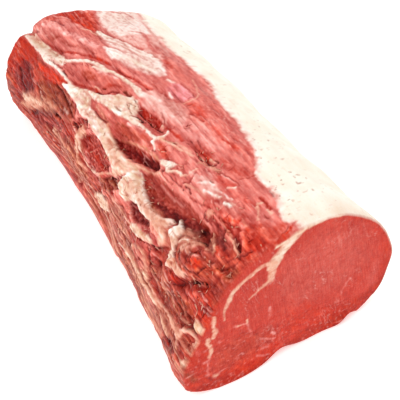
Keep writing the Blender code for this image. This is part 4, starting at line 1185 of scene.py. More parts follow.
# Marks of a cut across the muscles. Paths are x,z in mm at the near cut.
CUT_MARKS: list[Mark] = [
    Patch(RED, "-110,-5 -110,95 -66,102 -58,96 -60,80 -68,64 -74,44 -79,20 -60,14 -10,12 40,22 70,20 90,30 "
          "100,0 50,-8", 7, strength=0.8),
    Stroke(DEEP, "-90,8 -60,4 -20,3 20,6 60,10 84,26", 4, 7, strength=0.6),
    Stroke(SCARLET, "-60,16 -48,10 -30,14 -6,24 10,22 30,22", 4, 9, strength=0.45),
    Stroke(SCARLET, "86,88 91,72 92,60", 3.4, 6, strength=0.5),
    Stroke(PINK, "82,48 78,36 76,28", 3, 7, strength=0.3),
    Patch(BRICK, "-76,20 -70,44 -40,46 -20,34 -24,20 -50,12", 14, strength=0.5),
    Patch(ROSE, "0,100 40,112 70,90 76,60 50,44 10,46 -10,70", 24, strength=0.4),
    Stroke(RED, "70,112 84,98 92,78 94,58 88,38", 3, 6, strength=0.7),
    Patch(SCARLET, "-8,34 0,44 14,46 24,36 30,24 12,16 -4,22", 10, strength=0.5),
    Patch(SCARLET, "-62,10 -50,22 -34,20 -20,26 -10,16 -30,6 -52,3", 6, strength=0.4),
    Stroke(MAROON, "-90,2 -60,0 -20,0 20,1 60,5 84,20 95,42", 1.2, 3.2, strength=0.6),
    Stroke(DEEP, "-68,44 -58,50 -44,48 -34,40 -28,28", 0.6, 2.2, -0.2, 0.5),
    Stroke(DEEP, "-30,22 -14,28 -2,34 16,34 34,26 52,24", 0.5, 2.4, -0.3, 0.5),
    Stroke(DEEP, "-24,14 -10,18 2,16 14,12", 0.6, 2, -0.4, 0.5),
    Stroke(BLUSH, "-30,30 -24,26 -18,24", 0.7, 2, 0.2, 0.7),
    Stroke(BLUSH, "-36,14 -30,10 -26,8", 0.8, 2, 0.2, 0.6),
    # fat seam from the top edge, and its fork
    Stroke(TALLOW, "16,124.5 8,120 1,114.5 -6,109 -9,105", (3.4, 5), 3, 0.5),
    Stroke(CREAM, "12,122 2,115 -5,109 -8,105", (1.6, 3), 2.6, 0.2),
    Stroke(PEACH, "-8,106 -10.5,97 -12,91", (4.4, 3), 3.2, 0.3),
    Stroke(PEACH, "-12,91 -22,88 -28,85 -34,82", (1.4, 0.6), 1.8, 0.3, 0.8),
    Stroke(PEACH, "-8,109 -14,110 -20,109.6 -26,107 -34,104 -40,101.5 -46,98", (2, 1.3), 1.8, 0.4),
    Stroke(TALLOW, "-44,99.5 -47,96 -50,91", (1.6, 2.4), 1.8, 0.4),
    Stroke(PEACH, "-50,91 -53,88 -55,84 -56.5,78 -57.5,72", (1.8, 0.5), 1.8, 0.3, 0.9),
    # seam of the muscle on the rib side
    Stroke(PEACH, "-65.5,82 -67,70 -66.5,65 -69,60", (1.2, 2), 2.2, 0.3),
    Stroke(PEACH, "-74,61 -75,56 -72.5,50 -73,44 -76,40", (1.8, 1.2), 2, 0.3),
    Stroke(PINK, "-77,38 -79.5,27 -80,20", 0.9, 2),
    Stroke(PEACH, "-75,16 -73.5,15", 1.6, 2.4),
    Stroke(MAROON, "-79.5,17 -78,13", 1.2, 2.2),
    Stroke(PEACH, "-80,82 -77,75", (2.6, 2.4), 2.4, 0.3),
    Stroke(ROSE, "-86,60 -84,48", 1.2, 3, strength=0.7),
    Stroke(BROWN, "-97,34 -92,23", 2.6, 5, strength=0.8),
    # marbling of the eye muscle
    Stroke(PINK, "-50,60 -47,58 -43,57 -40,56", 1, 2, 0.2),
    Stroke(PEACH, "-47,58.5 -46,57.5", 0.9, 1.6, 0.2, 0.8),
    Stroke(PEACH, "-38.3,60 -39.5,56", 0.9, 1.6, 0.2, 0.9),
    Stroke(PINK, "-39,55 -37.5,47 -37,41", (1, 0.6), 1.8, 0.2),
    Stroke(BLUSH, "-17,60 -17.5,57.5", 1.3, 2.4, 0.2),
    Stroke(ROSE, "-17.5,56 -19,49", 1, 3),
    Stroke(BLUSH, "-18.5,32 -18,29.5", 1.2, 2, 0.2),
    Stroke(DEEP, "-19,39 -20,34", 1.2, 3.4, strength=0.6),
    Stroke(BLUSH, "-48.5,26.5 -48,25", 0.8, 1.6),
    Stroke(ROSE, "-52,25 -54,20", 0.7, 2.4),
    Stroke(DEEP, "-34.5,24 -36,18", 1, 2.6),
    Stroke(DEEP, "-27,24 -22,22", 1.2, 2.6),
    Stroke(PINK, "-31,19 -25,17.5", 1, 2.4),
    Stroke(PINK, "57,46.5 53,42 49,37.5 46.8,33", (1, 0.6), 1.6, 0.2),
    Stroke(ROSE, "43.5,29 43.5,26", 1.2, 2.4),
    Stroke(ROSE, "50,106 51,92", 0.6, 1.8),
]

# Top edge of the near cut, where a rim of fat shows, as x,z in mm.
TOP_RIM = "-3,122 10,123.5 30,126.2 45,124.5 58,120"

# Where fibres and flecks of fat stand off the rib side, in the photograph's pixels.
TORN = (
    "128,178 140,190 152,204 168,232 176,246 190,238 205,248 214,262 222,280 196,282 238,205 230,232 "
    "244,246 208,214 176,166 168,150 186,126 150,118 132,108 112,150 100,168 88,130 124,214 138,236 "
    "150,262 166,290 180,318 190,346 172,330 200,300 216,170 204,156")

def add_node(tree: bpy.types.NodeTree, kind: str, feeds: dict | None = None, **settings) -> bpy.types.Node:
    """Add a node.

    Args:
        tree: The node tree.
        kind: The node's type.
        feeds: For each input, by name or number, an output socket or a plain value.
        settings: The node's own properties.

    Returns:
        The new node.
    """
    node = tree.nodes.new(kind)
    for name, value in settings.items():
        setattr(node, name, value)
    for name, feed in (feeds or {}).items():
        if isinstance(feed, bpy.types.NodeSocket):
            tree.links.new(feed, node.inputs[name])
        else:
            node.inputs[name].default_value = feed
    return node


@dataclass(frozen=True)
class RawBeef:
    """Raw beef, freshly cut: moist muscle fibres, films and fat, told apart by the piece's attributes."""

    name: str = "raw beef, moist lean and fat"
    roughness: float = 0.46     # wet tissue under a broad soft light
    film_roughness: float = 0.26
    coat: float = 0.06          # thin water film
    ior: float = 1.38           # water and protein
    fibre_mm: float = 0.9       # width of a bundle of fibres, coarser than the real 0.3 mm so that it shows
    fibre_length_mm: float = 13.0
    fleck_mm: float = 1.5       # flecks of fat and blood between the fibres
    blot_mm: float = 6.5        # patches of bloom, where the meat has met air
    bump_mm: float = 0.8        # how far fibres and flecks stand out

    def material(self) -> bpy.types.Material:
        """Build the node material."""
        material = bpy.data.materials.new(self.name)
        material.use_nodes = True
        tree = material.node_tree
        tree.nodes.clear()
        colour = add_node(tree, "ShaderNodeAttribute", attribute_name="flesh").outputs["Color"]
        fat = add_node(tree, "ShaderNodeAttribute", attribute_name="fat").outputs["Fac"]
        object_place = add_node(tree, "ShaderNodeTexCoord").outputs["Object"]
        surface_place = add_node(tree, "ShaderNodeUVMap", uv_map="surface_mm").outputs["UV"]
        along_fibres = add_node(tree, "ShaderNodeMapping", {
            "Vector": surface_place, "Scale": (1 / self.fibre_length_mm, 1 / self.fibre_mm, 1.0)}).outputs[0]
        fibres = add_node(tree, "ShaderNodeTexNoise", {
            "Vector": along_fibres, "Scale": 1.0, "Detail": 3.0, "Roughness": 0.6, "Distortion": 0.6})
        flecks = add_node(tree, "ShaderNodeTexNoise", {
            "Vector": object_place, "Scale": 1 / (self.fleck_mm * MM), "Detail": 4.0, "Roughness": 0.65})
        blots = add_node(tree, "ShaderNodeTexNoise", {
            "Vector": object_place, "Scale": 1 / (self.blot_mm * MM), "Detail": 3.0, "Roughness": 0.55})
        # a gamma over 1 darkens lean and makes it redder, and leaves pale fat nearly as it is
        depth = self.weigh(tree, fibres.outputs["Fac"], -0.75, 1.0 + 0.375)
        depth = self.weigh(tree, flecks.outputs["Fac"], -0.60, 0.30, depth)
        depth = self.weigh(tree, blots.outputs["Fac"], -0.35, 0.175, depth)
        toned = add_node(tree, "ShaderNodeGamma", {"Color": colour, "Gamma": depth}).outputs[0]
        height = add_node(tree, "ShaderNodeMath", {
            0: fibres.outputs["Fac"], 1: flecks.outputs["Fac"]}, operation="ADD").outputs[0]
        bump = add_node(tree, "ShaderNodeBump", {
            "Strength": 0.5, "Distance": self.bump_mm * MM, "Height": height}).outputs[0]
        gloss = add_node(tree, "ShaderNodeMapRange", {
            "Value": blots.outputs["Fac"], "From Min": 0.35, "From Max": 0.7,
            "To Min": self.film_roughness, "To Max": self.roughness + 0.12}).outputs[0]
        gloss = add_node(tree, "ShaderNodeMath", {
            0: fat, 1: 0.16, 2: gloss}, operation="MULTIPLY_ADD").outputs[0]
        shader = add_node(tree, "ShaderNodeBsdfPrincipled", {
            "Base Color": toned, "Roughness": gloss, "Normal": bump, "IOR": self.ior,
            "Coat Weight": self.coat, "Coat Roughness": 0.2, "Specular IOR Level": 0.2})
        add_node(tree, "ShaderNodeOutputMaterial", {"Surface": shader.outputs[0]})
        return material

    @staticmethod
    def weigh(tree: bpy.types.NodeTree, value: bpy.types.NodeSocket, size: float, shift: float,
              base: bpy.types.NodeSocket | None = None) -> bpy.types.NodeSocket:
        """A value times a size plus a shift, on top of a base where there is one."""
        scaled = add_node(tree, "ShaderNodeMath", {
            0: value, 1: size, 2: shift}, operation="MULTIPLY_ADD").outputs[0]
        if base is None:
            return scaled
        return add_node(tree, "ShaderNodeMath", {0: scaled, 1: base}, operation="ADD").outputs[0]


@dataclass
class Grid:
    """Points of a grid with their normals, tissue shares and surface coordinates, one row per ring."""

    points: np.ndarray
    normals: np.ndarray
    tints: np.ndarray
    surface: np.ndarray

    def flat(self) -> tuple[np.ndarray, np.ndarray, np.ndarray, np.ndarray]:
        """The four arrays, one line per point."""
        return (self.points.reshape(-1, 3), self.normals.reshape(-1, 3),
                self.tints.reshape(-1, 4), self.surface.reshape(-1, 2))


def grid_normals(points: np.ndarray, closed: bool, flip: bool) -> np.ndarray:
    """Outward unit normals of a grid of points whose rows are rings."""
    if closed:
        across = np.roll(points, -1, axis=1) - np.roll(points, 1, axis=1)
    else:
        across = np.gradient(points, axis=1)
    normals = np.cross(across, np.gradient(points, axis=0))
    normals /= np.maximum(np.linalg.norm(normals, axis=-1, keepdims=True), 1e-12)
    return -normals if flip else normals


def quads(rows: int, columns: int, closed: bool) -> np.ndarray:
    """Corner numbers of the quads between the rings of a grid."""
    last = columns if closed else columns - 1
    row, column = np.meshgrid(np.arange(rows - 1), np.arange(last), indexing="ij")
    here = row * columns + column
    beside = row * columns + (column + 1) % columns
    return np.stack([here, beside, beside + columns, here + columns], axis=-1).reshape(-1, 4)


def add_object(name: str, data: bpy.types.ID) -> bpy.types.Object:
    """Put an object in the scene."""
    thing = bpy.data.objects.new(name, data)
    bpy.context.scene.collection.objects.link(thing)
    return thing


def tint(mesh: bpy.types.Mesh, tints: np.ndarray) -> None:
    """Give a mesh's points their colours and shares of fat."""
    colours = np.concatenate([tints[:, :3], np.ones((len(tints), 1))], axis=1)
    mesh.attributes.new("flesh", "FLOAT_COLOR", "POINT").data.foreach_set("color", colours.ravel())
    mesh.attributes.new("fat", "FLOAT", "POINT").data.foreach_set("value", unit(tints[:, 3]))


def make_piece(name: str, grid: Grid, extra: np.ndarray, faces: list[np.ndarray],
               material: bpy.types.Material) -> bpy.types.Object:
    """Make a closed mesh piece of a grid and a few hidden points.

    Args:
        name: The piece's name.
        grid: The grid that shows.
        extra: Hidden points that close the piece, in the loft's coordinates.
        faces: Arrays of corner numbers, of quads or triangles.
        material: Its finish.

    Returns:
        The object, at the origin.
    """
    points, normals, tints, surface = grid.flat()
    points = np.concatenate([points, extra]) - LOFT.middle
    normals = np.concatenate([normals, np.tile([0.0, 0.0, 1.0], (len(extra), 1))])
    tints = np.concatenate([tints, np.tile(flesh(LEAN), (len(extra), 1))])
    surface = np.concatenate([surface, np.zeros((len(extra), 2))])
    loops = np.concatenate([block.ravel() for block in faces])
    sizes = np.concatenate([np.full(len(block), block.shape[1]) for block in faces])
    mesh = bpy.data.meshes.new(name)
    mesh.vertices.add(len(points))
    mesh.vertices.foreach_set("co", points.ravel())
    mesh.loops.add(len(loops))
    mesh.loops.foreach_set("vertex_index", loops)
    mesh.polygons.add(len(sizes))
    mesh.polygons.foreach_set("loop_start", np.concatenate([[0], np.cumsum(sizes)[:-1]]))
    mesh.update(calc_edges=True)
    mesh.validate()
    tint(mesh, tints)
    uv = mesh.uv_layers.new(name="surface_mm")
    uv.data.foreach_set("uv", surface[loops].ravel())
    mesh.polygons.foreach_set("use_smooth", np.ones(len(sizes), dtype=bool))
    mesh.normals_split_custom_set_from_vertices(normals)
    mesh.materials.append(material)
    return add_object(name, mesh)


def join_frame(piece: bpy.types.Object) -> bpy.types.Object:
    """Tie a piece to its body in the frame and hide the imported part that it stands for."""
    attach(piece, BODY)
    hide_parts(NODE)
    log.info("%s: %d faces", piece.name, len(piece.data.polygons))
    return piece


LOFT = Loft()
VIEW = View()
SIGHT = Sight(VIEW, LOFT)
GUARD = 8    # columns beyond a strip's ends that its shading and normals look at
CORE_HEIGHT = 0.045             # line inside the joint where the walls of the strips meet, in metres
CORE_INSET = (0.010, 0.014)     # how far it ends behind the near and the far cut


@dataclass
class SkinStrip:
    """A strip of the joint's skin from cut to cut, closed by walls that meet inside the joint."""

    name: str
    first: float
    last: float
    pitch_mm: float
    seed: int = 11

    def steps(self, reach_mm: float) -> int:
        """Points of the grid within a reach."""
        return int(reach_mm / self.pitch_mm) + 1

    def paint(self, along: np.ndarray, station: np.ndarray) -> Canvas:
        """Draw what shows on the skin at a grid of places."""
        canvas = Canvas(*LOFT.surface(along, station), PINK, self.seed)
        canvas.draw(REGIONS, LOFT.place)
        for marks in (CAP, CHAIN, LOBE, BLADE, RIB_BED, ROLLED_END, FLANK, FAR_END, BLOOM_AND_GLINTS):
            canvas.draw(marks, SIGHT.place)
        border = self.paint_fat(canvas)
        self.weave_fibres(canvas, station.ravel(), along.ravel())
        if along.ndim == 2:
            soft_fat = 1.0 - 0.4 * unit(canvas.tints[:, 3]).reshape(along.shape)
            depth = 1.5 * unit((7.4 - station) / 0.6) * soft_fat * (1.0 - border.reshape(along.shape))
            canvas.emboss(self.steps(4.5), depth)
            # painted shade in what lies low and painted light on what stands up, from the fine lift and then
            # from the solid's own relief
            canvas.paint_shade_in_hollows(self.steps(2.6), 0.16)
            form = LOFT.relief(along, station) / MM
            proud = form - soften(form, self.steps(11))
            canvas.shade(0.11 * np.clip(proud, -3.0, 2.0).ravel())
            canvas.sharpen(self.steps(1.7), 0.45)
            # the lean beside the fat border is lightened, which takes back painted shade there
            canvas.shade(0.17 * border * unit(1.0 - canvas.tints[:, 3]))
        return canvas

    def paint_fat(self, canvas: Canvas) -> np.ndarray:
        """Lay the fat cover over the side, with its ragged border and its pits.

        Args:
            canvas: The skin that it lies on.

        Returns:
            How near each place is to the border, 1 on it.
        """
        u, v = canvas.flat_u, canvas.flat_v
        edge = np.array(sorted(SIGHT.place(*pixel) for pixel in read_path(FAT_EDGE)))
        # millimetres inside the cover's ragged upper edge, and above its lower one
        inset = canvas.v - np.interp(canvas.u, edge[:, 0], edge[:, 1])
        inset += 0.8 * grain(u, v, 2.6, 3.4, 41) + 1.8 * grain(u, v, 10.0, 7.0, 46)
        foot = LOFT.girth(12.25) - canvas.v + 5 * grain(u, v, 17, 9, 42)
        cover = unit(inset / 3.0 + 0.5) * unit(foot / 3.0 + 0.5)
        hem = np.exp(-((inset - 0.5) / 3.2) ** 2)
        # whitest high on the side and away from the near cut, pinker along the border
        near = np.exp(-(u / 16.0) ** 2)
        side = unit((v - LOFT.girth(8.8)) / 40.0)
        share = unit(1.0 + 0.35 * grain(u, v, 13, 8, 43) - 0.5 * near - 0.35 * side)[:, None]
        fat = flesh(CREAM) * (1.0 - share) + flesh(SUET) * share
        blush = unit(hem * (0.45 + 0.4 * grain(u, v, 3.0, 4.0, 47)))[:, None]
        fat = fat * (1.0 - blush) + flesh(VEIL) * blush
        canvas.tints += (fat - canvas.tints) * cover[:, None]
        # pits that show what lies under the fat, and wisps of film, both thick near the border
        pits = grain(u, v, 3.2, 2.6, 44) + 0.6 * grain(u, v, 1.7, 1.5, 45)
        pits = unit((pits - 0.82) / 0.3) * cover
        pits *= np.exp(-(inset / 45.0) ** 2) * (0.4 + 0.6 * np.exp(-((u - 70.0) / 70.0) ** 2))
        pits *= np.clip(0.85 + 0.9 * grain(u, v, 24, 16, 49), 0.25, 1.0)
        canvas.blend(CLAY, 0.75 * pits)
        wisps = unit((grain(u, v, 6.5, 2.0, 50) - 0.75) / 0.4) * cover * np.exp(-(inset / 26.0) ** 2)
        canvas.blend(PEACH, 0.55 * wisps)
        canvas.shade(0.05 * cover * grain(u, v, 11, 7, 48))
        canvas.lift += cover * 0.5 - 0.15 * hem * (foot > 0.0) - 0.7 * pits
        return np.exp(-(inset / 7.0) ** 2)

    def weave_fibres(self, canvas: Canvas, station: np.ndarray, along: np.ndarray) -> None:
        """Give the surface its bundles of fibres, grooves, films and torn relief, coarser on the rib side."""
        u, v = canvas.flat_u, canvas.flat_v
        # how rough and how lean each place is
        flank = unit((3.6 - station) / 1.2)
        near = unit((0.22 - along) / 0.08) * unit((6.2 - station) / 1.0)
        rough = unit(flank + near)
        lean = unit(1.0 - canvas.tints[:, 3])
        side = unit((5.4 - station) / 0.7)
        # film over lean, mottled by what lies under it
        cap = unit((6.8 - station) / 0.5) * unit((0.80 - along) / 0.08)
        film = unit(canvas.tints[:, 3]) * np.maximum(0.6 * cap, side)
        film *= 1.0 - 0.75 * unit((along - 0.62) / 0.2)
        canvas.shade(film * (-0.26 + 0.40 * grain(u, v, 7, 3.2, 38) + 0.30 * grain(u, v, 2.6, 1.6, 39)))
        canvas.blend(PEACH, 0.75 * film * unit(grain(u, v, 12, 2.4, 51) - 0.1))
        # dry brown crust with streaks of fat, low on the rib side
        bark = unit((2.5 - station) / 0.8) * unit((0.62 - along) / 0.1)
        canvas.blend(APRICOT, 0.75 * bark * unit((grain(u, v, 22, 4.2, 52) - 0.15) / 0.6))
        canvas.blend(TALLOW, 0.8 * bark * unit((grain(u, v, 19, 3.4, 53) - 0.65) / 0.4))
        canvas.blend(BROWN, 0.7 * bark * unit((grain(u, v, 20, 3.0, 54) - 0.45) / 0.4))
        # tones, from broad ones down to single bundles of fibres
        canvas.shade(lean * (-0.14 * rough - 0.08 * side))
        canvas.mottle(lean * (0.13 + 0.05 * rough), 22, 6, 21)
        canvas.mottle(lean * (0.12 + 0.18 * rough), 9, 2.6, 22)
        canvas.mottle(lean * (0.07 + 0.25 * rough), 12, 1.6, 23)
        canvas.mottle(lean * (0.07 + 0.11 * rough), 4.0, 1.2, 24)
        canvas.mottle(lean * 0.12, 38, 3.4, 29)
        # grooves between bundles, tears and strands of film, and the relief that goes with them; painted
        # shade darkens the grooves and tears
        groove = veins(u, v, 40, 5.0, 0.16, 26) * unit(0.5 + grain(u, v, 30, 18, 36))
        torn = veins(u, v, 17, 3.6, 0.20, 27) * rough * unit(0.4 + grain(u, v, 22, 14, 37))
        strand = veins(u, v, 30, 3.6, 0.13, 31) * unit(0.3 + 1.2 * grain(u, v, 27, 16, 30))
        canvas.shade(lean * (-0.22 * groove - (0.36 + 0.14 * near) * torn))
        canvas.blend(VEIL, 0.40 * strand * lean)
        lift = -0.45 * groove - (0.8 + 0.3 * near) * torn + 0.3 * strand
        lift += (0.35 + 0.3 * rough) * grain(u, v, 16, 5.0, 32)
        lift += (0.14 + 0.16 * rough) * grain(u, v, 5.0, 2.2, 33)
        lift += 0.15 * grain(u, v, 12, 1.7, 34)
        canvas.lift += lift * (0.25 + 0.75 * lean) + 0.4 * (1 - lean) * grain(u, v, 21, 14, 35)

    def build(self) -> Grid:
        """Make the strip's grid."""
        start, end = LOFT.near_round / LOFT.length, 1.0 - LOFT.far_round / LOFT.length
        span = float(LOFT.girth(self.last) - LOFT.girth(self.first))
        columns = int(span / self.pitch_mm) + 1
        rings = int(LOFT.length / MM / self.pitch_mm)
        pace = span / (columns - 1)
        reach = float(LOFT.girth(self.first)) + pace * np.arange(-GUARD, columns + GUARD)
        along, station = np.meshgrid(np.linspace(start, end, rings), LOFT.knot_at(reach), indexing="ij")
        canvas = self.paint(along, station)
        points = LOFT.skin(along, station, canvas.lift.reshape(along.shape) * MM)
        normals = grid_normals(points, closed=False, flip=False)
        tints = canvas.tints.reshape(*along.shape, -1)
        surface = np.stack(LOFT.surface(along, station), axis=-1)
        kept = (slice(None), slice(GUARD, -GUARD))
        return Grid(points[kept], normals[kept], tints[kept], surface[kept])

    def make(self, material: bpy.types.Material) -> bpy.types.Object:
        """Build and dress the strip."""
        grid = self.build()
        rows, columns = grid.points.shape[:2]
        near_end = float(LOFT.near_plane(0.0, CORE_HEIGHT)) + CORE_INSET[0]
        far_end = float(LOFT.far_plane(0.0, CORE_HEIGHT)) - CORE_INSET[1]
        core = np.linspace(near_end, far_end, rows)
        apex = np.stack([np.zeros(rows), core, np.full(rows, CORE_HEIGHT)], axis=-1)
        ring = np.arange(rows - 1)
        hub = rows * columns + np.arange(rows)
        low, high = ring * columns, ring * columns + columns - 1
        walls = np.concatenate([
            np.stack([low, low + columns, hub[1:], hub[:-1]], axis=-1),
            np.stack([high, hub[:-1], hub[1:], high + columns], axis=-1)])
        column = np.arange(columns - 1)
        far = (rows - 1) * columns + column
        ends = np.concatenate([
            np.stack([np.full(columns - 1, hub[0]), column + 1, column], axis=-1),
            np.stack([np.full(columns - 1, hub[-1]), far, far + 1], axis=-1)])
        return make_piece(self.name, grid, apex, [quads(rows, columns, False), walls, ends], material)


@dataclass
class CutFace:
    """A cut across the joint, with its rounded edge: a closed disc that the skin strips run up to."""

    name: str
    far: bool
    columns: int
    rings: int
    arc_steps: int = 5
    skirt_mm: float = 5.0
    skirt_sink_mm: float = 0.6
    middle: tuple[float, float] = (0.002, 0.054)        # (x, z) that the rings close in on, in metres
    near_middle: tuple[float, float] = (0.0, 56.0)      # the same on the near cut, for its marks, in mm
    seed: int = 71

    def edge(self, station: np.ndarray) -> tuple[np.ndarray, np.ndarray]:
        """Round the edge of the cut.

        Args:
            station: Stations of the columns.

        Returns:
            Rows of points from the skirt behind the edge, over the rounded edge, to the face, and the edge's
            tints.
        """
        roundness = LOFT.far_round if self.far else LOFT.near_round
        share = roundness / LOFT.length
        hem = self.skirt_mm * MM / LOFT.length
        place = np.full(station.shape, 1.0 - share if self.far else share)
        back = place - hem if self.far else place + hem
        strip = SkinStrip("edge", 0.0, 1.0, 1.0)
        rim_canvas = strip.paint(place, station)
        back_canvas = strip.paint(back, station)
        rim = LOFT.skin(place, station, rim_canvas.lift * MM)
        skirt = LOFT.skin(back, station, (back_canvas.lift - self.skirt_sink_mm) * MM)
        centre = rim.mean(axis=0)
        arm = rim - centre
        arm[:, 1] = 0.0
        inward = -arm / np.linalg.norm(arm, axis=1, keepdims=True)
        outward = np.array([0.0, 1.0 if self.far else -1.0, 0.0])
        rows = [skirt, rim]
        for step in range(1, self.arc_steps + 1):
            angle = 0.5 * math.pi * step / self.arc_steps
            turned = rim + inward * roundness * (1 - math.cos(angle)) + outward * roundness * math.sin(angle)
            rows.append(turned)
        return np.array(rows), rim_canvas.tints

    def near_place(self, station: np.ndarray, share: np.ndarray) -> tuple[np.ndarray, np.ndarray]:
        """Where a place on this cut lies on the near cut, in millimetres."""
        outline = LOFT.outline(LOFT.near_outline, station) / MM
        spot = self.near_middle + (outline - self.near_middle) * share[..., None]
        return spot[..., 0], spot[..., 1]

    def build(self) -> Grid:
        """Make the cut's grid."""
        whole_round = LOFT.girth(np.array([0.0, LOFT.stations]))
        station = LOFT.knot_at(np.linspace(*whole_round, self.columns, endpoint=False))
        edge, rim_tints = self.edge(station)
        face = edge[-1]
        plane = LOFT.far_plane if self.far else LOFT.near_plane
        middle = np.array([self.middle[0], plane(*self.middle), self.middle[1]])
        proud = face[:, 1] - plane(face[:, 0], face[:, 2])
        share = 1.0 - np.linspace(0.0, 1.0, self.rings + 1)[1:-1]
        inner = middle + (face - middle) * share[:, None, None]
        inner[..., 1] = plane(inner[..., 0], inner[..., 2]) + proud * share[:, None] ** 8
        inner[..., 2] = np.maximum(inner[..., 2], 0.0)
        points = np.concatenate([edge, inner])
        shares = np.concatenate([np.ones(len(edge)), share])
        stations = np.broadcast_to(station, points.shape[:2])
        if self.far:
            u, v = self.near_place(stations, np.broadcast_to(shares[:, None], points.shape[:2]))
        else:
            u, v = points[..., 0] / MM, points[..., 2] / MM
        canvas = self.paint(u, v)
        tints = canvas.tints.reshape(*points.shape[:2], -1)
        blend = np.zeros(len(points))
        blend[:2] = 1.0
        blend[2:len(edge)] = np.linspace(1.0, 0.0, self.arc_steps + 1)[1:] ** 0.8
        tints += (rim_tints - tints) * blend[:, None, None]
        lift = canvas.lift.reshape(points.shape[:2]).copy()
        lift[:len(edge)] = 0.0
        lift[len(edge):len(edge) + 3] *= np.array([0.3, 0.6, 0.9])[:, None]
        points[..., 1] += lift * MM * (1.0 if self.far else -1.0)
        normals = grid_normals(points, closed=True, flip=not self.far)
        return Grid(points, normals, tints, np.stack([v, u], axis=-1))

    def paint(self, u: np.ndarray, v: np.ndarray) -> Canvas:
        """Draw the muscles and seams of the cut."""
        canvas = Canvas(u, v, CUT, self.seed)
        rim = Stroke(TALLOW, TOP_RIM, (1.6, 0.8), 2.2, 0.2)
        canvas.draw([*CUT_MARKS, rim], lambda x, z: (x, z))
        u, v = canvas.flat_u, canvas.flat_v
        # low on the rib side the grain is coarser, with flecks of fat and small gaps, which are sunk and
        # darkened with painted shade
        rim_side = unit((44.0 - v - 0.35 * u) / 18.0)
        canvas.mottle(0.07, 22, 16, 73)
        canvas.mottle(0.08, 1.7, 8.0, 74)
        canvas.mottle(0.07 + 0.08 * rim_side, 3.4, 3.0, 75)
        canvas.mottle(0.07 + 0.07 * rim_side, 1.3, 1.5, 78)
        # hairs of fat between the fibres, and darker threads
        hairs = veins(u + 0.18 * v, v, 3.0, 15.0, 0.10, 79) * unit(0.1 + grain(u, v, 14, 12, 80))
        canvas.blend(VEIL, 0.5 * hairs)
        threads = veins(u, v, 9.0, 6.0, 0.07, 81) * unit(grain(u, v, 20, 14, 82) - 0.1)
        canvas.shade(-0.25 * threads)
        flecks = unit((grain(u, v, 3.4, 1.8, 83) - 0.6) / 0.4) * rim_side
        canvas.blend(BLUSH, 0.55 * flecks)
        gaps = unit((grain(u, v, 4.6, 2.0, 84) - 0.7) / 0.4) * rim_side
        canvas.shade(-0.45 * gaps)
        canvas.lift -= 0.5 * gaps
        canvas.lift += 0.35 * grain(u, v, 24, 20, 76)
        canvas.lift += 0.10 * grain(u, v, 2.4, 6.0, 77)
        return canvas

    def make(self, material: bpy.types.Material) -> bpy.types.Object:
        """Build and dress the cut."""
        grid = self.build()
        rows, columns = grid.points.shape[:2]
        poles = np.array([grid.points[-1].mean(axis=0), grid.points[0].mean(axis=0)])
        hub, tail = rows * columns, rows * columns + 1
        column = np.arange(columns)
        beside = (column + 1) % columns
        last = (rows - 1) * columns
        skin = quads(rows, columns, True)
        tip = np.stack([last + column, np.full(columns, hub), last + beside], axis=-1)
        rear = np.stack([column, beside, np.full(columns, tail)], axis=-1)
        if self.far:
            tip, rear = tip[:, ::-1], rear[:, ::-1]
        else:
            skin = skin[:, ::-1]
        return make_piece(self.name, grid, poles, [skin, tip, rear], material)


